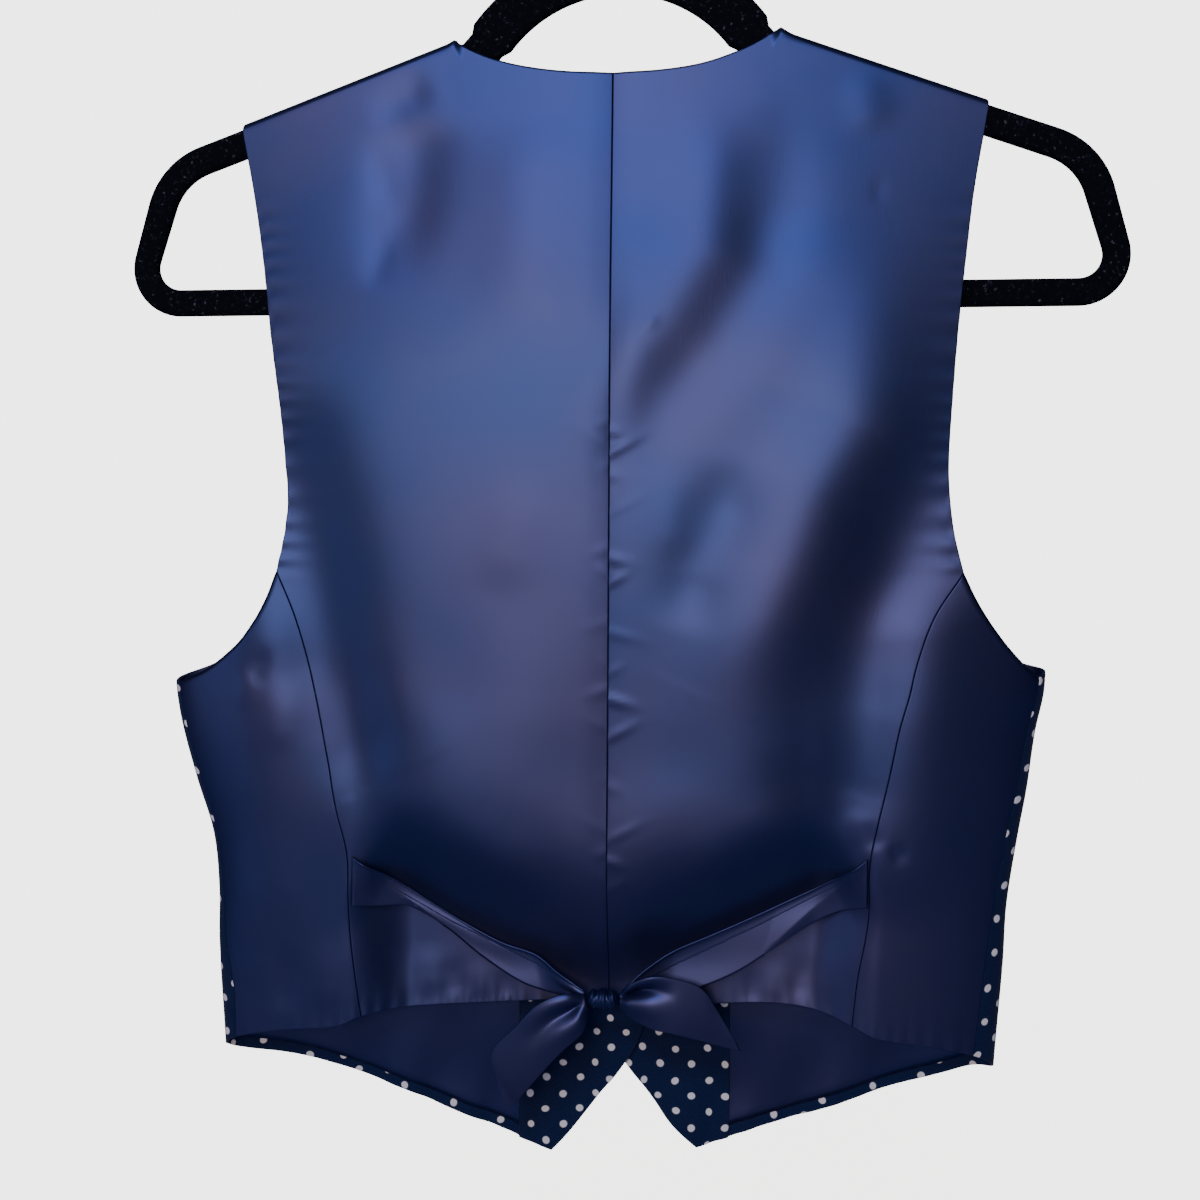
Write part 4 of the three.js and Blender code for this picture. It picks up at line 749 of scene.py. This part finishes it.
# Rows from the princess seam to the knot: upper edge x, z, lower edge x, z, lift off the back.
tieRows = {
    "left": np.array([
        (-114.6, -472.4, -115.2, -494.4, 1.2), (-105, -477.8, -103, -494.8, 1.4), (-94.9, -483.9, -90, -495.2, 1.7),
        (-73.7, -497, -73.7, -503.6, 2.5), (-60, -504.4, -57.4, -516, 2.9), (-47.6, -510.1, -41.2, -526, 3.3),
        (-34, -514.4, -29.8, -530, 3.5), (-24, -521, -20, -531.4, 3.7), (-11.4, -528.6, -11.3, -533.4, 3.9)], float),
    "right": np.array([
        (109, -468.6, 109.2, -490, 1.2), (100, -475.4, 98, -492.4, 1.5), (89, -481.8, 84, -499.4, 1.9),
        (77, -487.8, 70, -508.8, 2.5), (60, -496, 54, -519.4, 3.1), (42, -504.2, 38, -526.6, 3.5),
        (26, -511.4, 24, -529.6, 3.7), (13, -520, 12, -531.6, 3.9), (3.8, -528.2, 3.7, -533.2, 4.1)], float),
}
# Rows of the free ends: both edges from the knot to the cut end, depth of the outer face.
tailRows = {
    "left": np.array([
        (-11.3, -529.6, -10.3, -535.8, 16.1), (-20.7, -529.2, -12.6, -545.4, 18.6), (-31.5, -533.6, -20, -552.6, 19.6),
        (-41.3, -543.8, -28.5, -561.8, 18.6), (-51.5, -555.2, -38.6, -574.1, 17), (-49.6, -567.1, -41.6, -577.4, 16.5),
        (-45.8, -578.6, -44.6, -579.4, 16.5)], float),
    "right": np.array([
        (3.7, -529.4, 3.7, -534.2, 16.1), (9, -523.6, 9.4, -538.6, 18.2), (17.5, -520, 17.8, -542.4, 20.4),
        (27, -520.6, 27, -544.2, 20.6), (38.6, -524.6, 37.4, -546.8, 19.4), (45.6, -534.4, 46.4, -549.4, 18.4),
        (55.4, -550.6, 55.6, -551.8, 17.4)], float),
}
tieValues = {"wall": 1.0, "along": 150, "across": 46, "ridgeEnd": {"left": 0.36, "right": 0.42},
             "strapRise": {"left": 0.15, "right": 0.7}, "rootFall": {"left": 2.6, "right": 2.2}, "rim": 0.5}
knotValues = {"x": -3.8, "z": -531.4, "halfWidth": 7.2, "halfHeight": 4.7, "depth": 14.5, "halfDepth": 4.8}


def backDepth(x, z):  # depth of the back's outer face
    depth = np.zeros_like(x)
    for side in (leftSide, rightSide):
        mine = (x < form["centreBack"]) if side["way"] < 0 else (x >= form["centreBack"])
        at = place(side, np.abs(x[mine] - form["centreBack"]), z[mine])
        depth[mine] = -clothPoint(side, at[:, 0], at[:, 1], 0)[:, 1]
    return depth


def strip(name, rows, depthAt, along, across, wall, replaced, sway=None):
    # a strip between two edges that run smoothly through the rows, its depth a function of the place
    t, s = np.linspace(0, 1, along), stations(20, 20 / across)
    shares = np.linspace(0, 1, len(rows))
    topX, topZ, lowX, lowZ = (readColumn(shares, rows[:, k], t)[:, None] for k in range(4))
    x, z = topX * (1 - s) + lowX * s, topZ * (1 - s) + lowZ * s
    t, s = np.broadcast_to(t[:, None], x.shape), np.broadcast_to(s[None, :], x.shape)
    if sway is not None:
        x, z = sway(x, z, t, s)
    points = np.stack([x, -depthAt(x, z, t, s), z], axis=-1)
    normals = gridNormals(points)
    if normals[..., 1].mean() > 0:
        normals = -normals
    middle = points + normals * wall / 2
    way = 1 if np.cross(np.gradient(points, axis=1), np.gradient(points, axis=0))[..., 1].mean() < 0 else -1
    flat = np.stack([t * lengthsOf(points[:, 0])[-1], s * 22], axis=-1)
    piece = layeredMesh(middle, normals, wall, rimDistance(points), flat, name, satin, way)
    finishPiece(piece, "satin", replaced)
    return piece


def makeTies():
    values = tieValues
    wall = values["wall"]
    for side in (leftSide, rightSide):
        rows = tieRows[side["name"]]
        shares = np.linspace(0, 1, len(rows))

        def tieDepth(x, z, t, s):
            # lifted off the back; a diagonal ridge parts the sewn root, that faces down, from the
            # strap, that faces up a little; the upper edge is rolled, and near the knot it gathers
            lift = readColumn(shares, rows[:, 4], t)
            rise, fall = values["strapRise"][side["name"]], values["rootFall"][side["name"]] * smooth(t / 0.1)
            ridge = np.minimum(t / values["ridgeEnd"][side["name"]], 1.0)
            off = s - ridge
            roof = rise * ridge + fall * (1 - ridge) - np.where(off < 0, rise, fall) * np.sqrt(off ** 2 + 0.002)
            rim = values["rim"] * np.exp(-(s / 0.045) ** 2) * smooth(t * 10)
            waves = 0.15 * np.sin(t * 13 + s * 5) * smooth(t * 4) * smooth((1 - t) * 5)
            free = backDepth(x, z) + 0.6 * drawnIn(x, z) + lift * 0.6 + 0.4 + roof + rim + waves
            drawn = smooth((t - 0.72) / 0.28)
            pleats = 0.18 * np.cos(s * np.pi * 4 + 0.6) * smooth((t - 0.75) / 0.25)
            return free * (1 - drawn) + (knotValues["depth"] - 1.6) * drawn + pleats

        strip(f"tie_{side['name']}", rows, tieDepth, tieValues["along"], tieValues["across"], wall,
              f"tie_{side['name']}")
        tail = tailRows[side["name"]]
        tailShares = np.linspace(0, 1, len(tail))

        def tailDepth(x, z, t, s):
            # curls to an open scoop beside the knot, and flattens towards the cut end
            outer = readColumn(tailShares, tail[:, 4], t) - wall
            scoop = smooth(t * 7) * smooth((0.55 - t) / 0.4)
            if side["way"] > 0:
                curl = 1.8 * np.exp(-((s - 0.04) / 0.1) ** 2) - 4.2 * np.exp(-((s - 0.27) / 0.13) ** 2)
                curl = curl + 1.2 * np.exp(-((s - 0.62) / 0.22) ** 2)
            else:
                curl = 1.2 * np.exp(-((s - 0.12) / 0.13) ** 2) - 2.2 * np.exp(-((s - 0.42) / 0.15) ** 2)
                curl = curl + 1.0 * np.exp(-((s - 0.75) / 0.2) ** 2)
            return outer + 1.3 * np.sin(np.pi * s) * (1 - t) + curl * scoop + 0.25 * np.sin(9 * t + 3 * s)

        strip(f"tie_tail_{side['name']}", tail, tailDepth, 90, 44, wall, f"tie_tail_{side['name']}")


def makeKnot(values):
    # a barrel along x, its radius the root of 1 - |t|^3, with slanted pleats cut in by narrow bell curves
    along, around = 90, 96
    t = -np.cos(np.pi * np.linspace(0, 1, along))[1:-1, None]
    turn = np.linspace(0, 2 * np.pi, around, endpoint=False)[None, :]
    swell = np.sqrt(1 - np.abs(t) ** 3) * (0.92 + 0.08 * np.cos(3 * np.pi * t))
    rise = np.sin(turn)
    grooves = 0
    for at, lean, depth, width in ((-0.62, -0.30, 0.15, 0.07), (-0.02, -0.06, 0.12, 0.05), (0.22, 0.05, 0.05, 0.05),
                                   (0.52, 0.22, 0.15, 0.07), (-0.34, -0.16, 0.04, 0.06), (0.8, 0.1, 0.07, 0.05)):
        grooves = grooves + depth * np.exp(-((t - at + lean * rise) / width) ** 2)
    radius = swell * (1 - grooves)
    points = np.stack([values["x"] + values["halfWidth"] * t + 0 * turn,
                       -values["depth"] - values["halfDepth"] * radius * np.cos(turn),
                       values["z"] + values["halfHeight"] * radius * rise], axis=-1)
    rows = points.shape[0]
    index = np.arange(rows * around).reshape(rows, around)
    index = np.hstack([index, index[:, :1]])
    ends = np.array([[values["x"] - values["halfWidth"], -values["depth"], values["z"]],
                     [values["x"] + values["halfWidth"], -values["depth"], values["z"]]])
    faces = [list(face) for face in quads(index)[:, ::-1]]
    faces += [[rows * around, index[0, k], index[0, k + 1]] for k in range(around)]
    faces += [[rows * around + 1, index[-1, k + 1], index[-1, k]] for k in range(around)]
    allPoints = np.vstack([points.reshape(-1, 3), ends])
    uv = np.stack([allPoints[:, 2], allPoints[:, 0]], axis=-1)
    piece = makeObject("tie_knot_folds", allPoints, faces, satin, uv)
    finishPiece(piece, "satin", "tie_knot")


makeTies()
makeKnot(knotValues)
print("ties and knot made")


# Hanger

hangerValues = {"thickness": 5.5, "bendStep": 3.0, "around": 32,
                "corners": [(219.5, -225.9, 16, 12), (202.7, -166.8, 31, 13), (67, -118, 0, 12.8),
                            (60.2, -114.7, 9, 17), (0, -34.2, 70.5, 21)]}  # x, z, bend radius, height
wireValues = {"wire": 3.8, "radius": 18.5, "stemTop": -46, "tipAngle": 200, "stemFoot": -85}


def hangerLine(values):  # straight runs between corners, and an arc at each corner that has a radius
    corners = [np.array(c, float) for c in values["corners"]]
    corners = corners + [c * np.array([-1, 1, 1, 1]) for c in corners[:-1][::-1]]
    rows = []
    for i, corner in enumerate(corners):
        before, after = corners[i - 1][:2], corners[(i + 1) % len(corners)][:2]
        here, radius, height = corner[:2], corner[2], corner[3]
        arriving = (here - before) / np.linalg.norm(here - before)
        leaving = (after - here) / np.linalg.norm(after - here)
        bend = math.atan2(arriving[0] * leaving[1] - arriving[1] * leaving[0], arriving @ leaving)
        count = max(2, math.ceil(abs(math.degrees(bend)) / values["bendStep"])) if radius else 0
        turned = bend * np.arange(count + 1) / count if count else np.array([bend / 2])
        ahead = np.stack([arriving[0] * np.cos(turned) - arriving[1] * np.sin(turned),
                          arriving[0] * np.sin(turned) + arriving[1] * np.cos(turned)], axis=-1)
        outward = np.stack([ahead[:, 1], -ahead[:, 0]], axis=-1)
        hand = np.sign(bend)
        start = here - arriving * radius * math.tan(abs(bend) / 2)
        centre = start - hand * radius * np.array([arriving[1], -arriving[0]])
        at = centre + outward * hand * radius if count else here[None]
        rows.append(np.hstack([at, outward, np.full((len(at), 1), height)]))
    return np.vstack(rows)


def evenLine(line, step):  # the same closed line with stations a step apart on its long runs
    closed = np.vstack([line, line[:1]])
    lengths = lengthsOf(closed[:, :2])
    more = np.unique(np.concatenate([lengths, np.arange(0, lengths[-1], step)]))
    more = more[np.concatenate([[True], np.diff(more) > 0.2])][:-1]
    result = np.stack([np.interp(more, lengths, closed[:, k]) for k in range(5)], axis=-1)
    result[:, 2:4] /= np.linalg.norm(result[:, 2:4], axis=1, keepdims=True)
    return result


def makeHanger(values):
    # a stadium section, two half circles on flats, carried along the frame's line
    line = evenLine(hangerLine(values), 4.0)
    half = values["thickness"] / 2
    flat = line[:, 4:5] / 2 - half
    k = np.arange(values["around"])
    end = np.where(k < values["around"] / 2, 1, -1)
    turn = np.radians(-90 + 180 * (k % (values["around"] // 2)) / (values["around"] / 2 - 1))
    reach = end * (flat + half * np.cos(turn)[None, :])
    points = np.stack([line[:, 0:1] + line[:, 2:3] * reach, 0 * reach + end * half * np.sin(turn),
                       line[:, 1:2] + line[:, 3:4] * reach], axis=-1)
    rows = points.shape[0]
    index = np.arange(points.shape[0] * points.shape[1]).reshape(points.shape[:2])
    index = np.vstack([index, index[:1]])
    index = np.hstack([index, index[:, :1]])
    piece = makeObject("hanger_flocked", points.reshape(-1, 3), quads(index), velvet)
    finishPiece(piece, "velvet", "hanger_frame")
    print(f"hanger made: {rows} sections")


def makeWire(values):
    # a circle carried along the hook's line, with a round tip where the radius falls as a quarter circle
    wire, radius = values["wire"] / 2, values["radius"]
    turn = np.radians(np.linspace(-40, values["tipAngle"], 60))
    bend = np.stack([radius * np.cos(turn), wire - radius + radius * np.sin(turn)], axis=-1)
    stops = np.vstack([[(0, values["stemFoot"]), (0, values["stemTop"] - 8), (1.2, values["stemTop"]),
                        (6, values["stemTop"] + 9)], bend])
    line = curveThrough(stops, 6)
    lengths = lengthsOf(line)
    toTip = lengths[-1] - lengths
    tip = lengths[-1] - wire * (1 - np.cos(np.linspace(0, np.pi / 2, 8)))[::-1]
    at = np.unique(np.concatenate([np.arange(0, lengths[-1] - wire, 1.2), tip]))
    line = np.stack([np.interp(at, lengths, line[:, k]) for k in (0, 1)], axis=-1)
    toTip = lengths[-1] - at
    thick = wire * np.sqrt(np.clip(1 - (1 - np.minimum((toTip + 0.02) / wire, 1)) ** 2, 0.002, 1))[:, None]
    ahead = np.gradient(line, axis=0)
    ahead /= np.linalg.norm(ahead, axis=1, keepdims=True)
    turn = np.linspace(0, 2 * np.pi, 24, endpoint=False)[None, :]
    points = np.stack([line[:, 0:1] + ahead[:, 1:2] * thick * np.cos(turn), thick * np.sin(turn),
                       line[:, 1:2] - ahead[:, 0:1] * thick * np.cos(turn)], axis=-1)
    index = np.arange(points.shape[0] * 24).reshape(-1, 24)
    closed = np.hstack([index, index[:, :1]])
    faces = [list(face) for face in quads(closed)] + [list(index[0]), list(index[-1][::-1])]
    piece = makeObject("hanger_wire", points.reshape(-1, 3), faces, chrome)
    finishPiece(piece, "metal", "hanger_hook")


makeHanger(hangerValues)
makeWire(wireValues)


# Buttons and buttonholes

buttonForm = {"radius": 7.5, "holeRadius": 0.85, "holeOut": 1.5, "dish": 5.2, "rings": 40, "around": 96}


def makeButton(number, values):
    # a disc whose face height depends on the distance from its middle, with four holes sunk through it
    low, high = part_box(f"button_{number}")
    middleX, seat, middleZ = (low.x + high.x) * 500, low.y * 1000, (low.z + high.z) * 500
    r = np.concatenate([np.linspace(0.06, values["radius"] - 0.7, values["rings"]),
                        values["radius"] - 0.7 + 0.7 * np.sin(np.linspace(0.15, np.pi / 2, 8))])[:, None]
    turn = np.linspace(0, 2 * np.pi, values["around"], endpoint=False)[None, :]
    u, v = r * np.cos(turn), r * np.sin(turn)
    rim = np.exp(-((r - 6.3) / 0.8) ** 2) * 0.75
    face = 2.1 + rim + 0 * turn
    edge = np.clip((r - (values["radius"] - 0.7)) / 0.7, 0, 1)
    face = face - 0.75 * (1 - np.sqrt(np.clip(1 - edge ** 2, 0, 1)))
    for x in (-1, 1):
        for z in (-1, 1):
            gap = np.hypot(u - x * values["holeOut"], v - z * values["holeOut"])
            face = face - 1.7 * smooth((values["holeRadius"] + 0.15 - gap) / 0.3)
    top = np.stack([middleX + u, seat + face, middleZ + v], axis=-1)
    under = np.stack([middleX + u * 0.94, seat + 0.02 + 0.5 * smooth((r - 6.2) / 1.3) + 0 * turn, middleZ + v * 0.94],
                     axis=-1)[::-1]
    points = np.concatenate([top, under])
    index = np.arange(points.shape[0] * points.shape[1]).reshape(points.shape[:2])
    closed = np.hstack([index, index[:, :1]])
    faces = [list(f) for f in quads(closed)] + [list(index[0][::-1]), list(index[-1])]
    piece = makeObject(f"button_shell_{number}", points.reshape(-1, 3), faces, buttonPlastic)
    finishPiece(piece, "button", f"button_{number}")
    makeStitches(number, middleX, seat, middleZ, values)


def makeStitches(number, middleX, seat, middleZ, values):
    # two bars of thread across the holes: each an arc over the button's face with a round section
    points, faces = [], []
    t = np.linspace(-1, 1, 17)[:, None]
    turn = np.linspace(0, 2 * np.pi, 8, endpoint=False)[None, :]
    for z in (-1, 1):
        for shift in (-0.28, 0.28):
            x = middleX + t * (values["holeOut"] + 0.1)
            y = seat + 2.35 - 1.5 * np.abs(t) ** 6
            ring = np.stack([x + 0 * turn, y + 0.24 * np.cos(turn), middleZ + z * values["holeOut"] + shift
                             + 0.24 * np.sin(turn) + 0 * t], axis=-1)
            base = sum(len(p) for p in points)
            index = base + np.arange(17 * 8).reshape(17, 8)
            points.append(ring.reshape(-1, 3))
            faces += [list(f) for f in quads(np.hstack([index, index[:, :1]]))]
            faces += [list(index[0][::-1]), list(index[-1])]
    piece = makeObject(f"button_thread_{number}", np.vstack(points), faces, thread)
    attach(piece, "root")


for number in range(1, 5):
    makeButton(number, buttonForm)
print("buttons made")


# Stage

stageValues = {"floorZ": -0.80, "wallY": 1.3, "bendRadius": 0.5, "halfWidth": 3.0, "front": -2.6, "wallTop": 2.2,
               "colour": "F4F4F2", "dull": "B0B8D4", "glow": 4.0}


def makeStage(values):
    # a floor that runs up into a wall on a quarter circle, carried across x
    turn = np.radians(np.linspace(0, 90, 24))
    r = values["bendRadius"]
    profile = np.vstack([[(values["front"], values["floorZ"])],
                         np.stack([values["wallY"] - r + r * np.sin(turn),
                                   values["floorZ"] + r - r * np.cos(turn)], axis=-1),
                         [(values["wallY"], values["wallTop"])]])
    across = np.array([-values["halfWidth"], values["halfWidth"]])
    points = np.stack([np.repeat(across[None, :], len(profile), 0), np.repeat(profile[:, :1], 2, 1),
                       np.repeat(profile[:, 1:], 2, 1)], axis=-1) * 1000
    index = np.arange(points.shape[0] * 2).reshape(-1, 2)
    material, tree = newMaterial("matt paper")
    paper = addNode(tree, "ShaderNodeBsdfPrincipled", None,
                    {"Base Color": linear(values["colour"]), "Roughness": 0.9, "Specular IOR Level": 0.1,
                     "Emission Color": linear(values["colour"]), "Emission Strength": values["glow"]})
    # what the cloth is lit by is duller paper than what is seen, as if flags stood beside the camera
    dull = addNode(tree, "ShaderNodeBsdfDiffuse", None, {"Color": linear(values["dull"])})
    seen = addNode(tree, "ShaderNodeLightPath").outputs["Is Camera Ray"]
    both = addNode(tree, "ShaderNodeMixShader", None, {0: seen, 1: dull.outputs[0], 2: paper.outputs[0]})
    addNode(tree, "ShaderNodeOutputMaterial", None, {0: both.outputs[0]})
    makeObject("backdrop", points.reshape(-1, 3), quads(index), material)


def addLight(name, place, target, size, power, code):
    light = bpy.data.lights.new(name, "AREA")
    light.shape = "RECTANGLE"
    light.size, light.size_y = size
    light.energy = power
    light.color = linear(code)[:3]
    lamp = bpy.data.objects.new(name, light)
    lamp.location = place
    lamp.rotation_mode = "QUATERNION"
    lamp.rotation_quaternion = (Vector(target) - Vector(place)).to_track_quat("-Z", "Y")
    scene.collection.objects.link(lamp)


def makeLight():
    world = bpy.data.worlds.new("studio")
    scene.world = world
    world.use_nodes = True
    tree = world.node_tree
    tree.nodes.clear()
    back = addNode(tree, "ShaderNodeBackground", None, {"Color": linear("E8ECF4"), "Strength": 0.015})
    seen = addNode(tree, "ShaderNodeBackground", None, {"Color": linear("E8ECF4"), "Strength": 0.9})
    toCamera = addNode(tree, "ShaderNodeLightPath").outputs["Is Camera Ray"]
    both = addNode(tree, "ShaderNodeMixShader", None, {0: toCamera, 1: back.outputs[0], 2: seen.outputs[0]})
    addNode(tree, "ShaderNodeOutputWorld", None, {0: both.outputs[0]})
    addLight("window", (-0.28, -2.6, 1.35), (0, 0, -0.25), (1.0, 0.7), 26, "C8D8FF")
    addLight("room", (-0.34, -2.9, 0.2), (0, 0, -0.35), (0.9, 0.9), 29, "FFE4D4")
    addLight("left fill", (-1.9, -1.7, -0.2), (0, 0, -0.4), (0.8, 1.2), 5, "DCE4FF")
    addLight("front fill", (0.6, 1.6, 0.1), (0, 0, -0.35), (0.9, 0.9), 40, "FFFFFF")


makeStage(stageValues)
makeLight()
print("stage and light made")
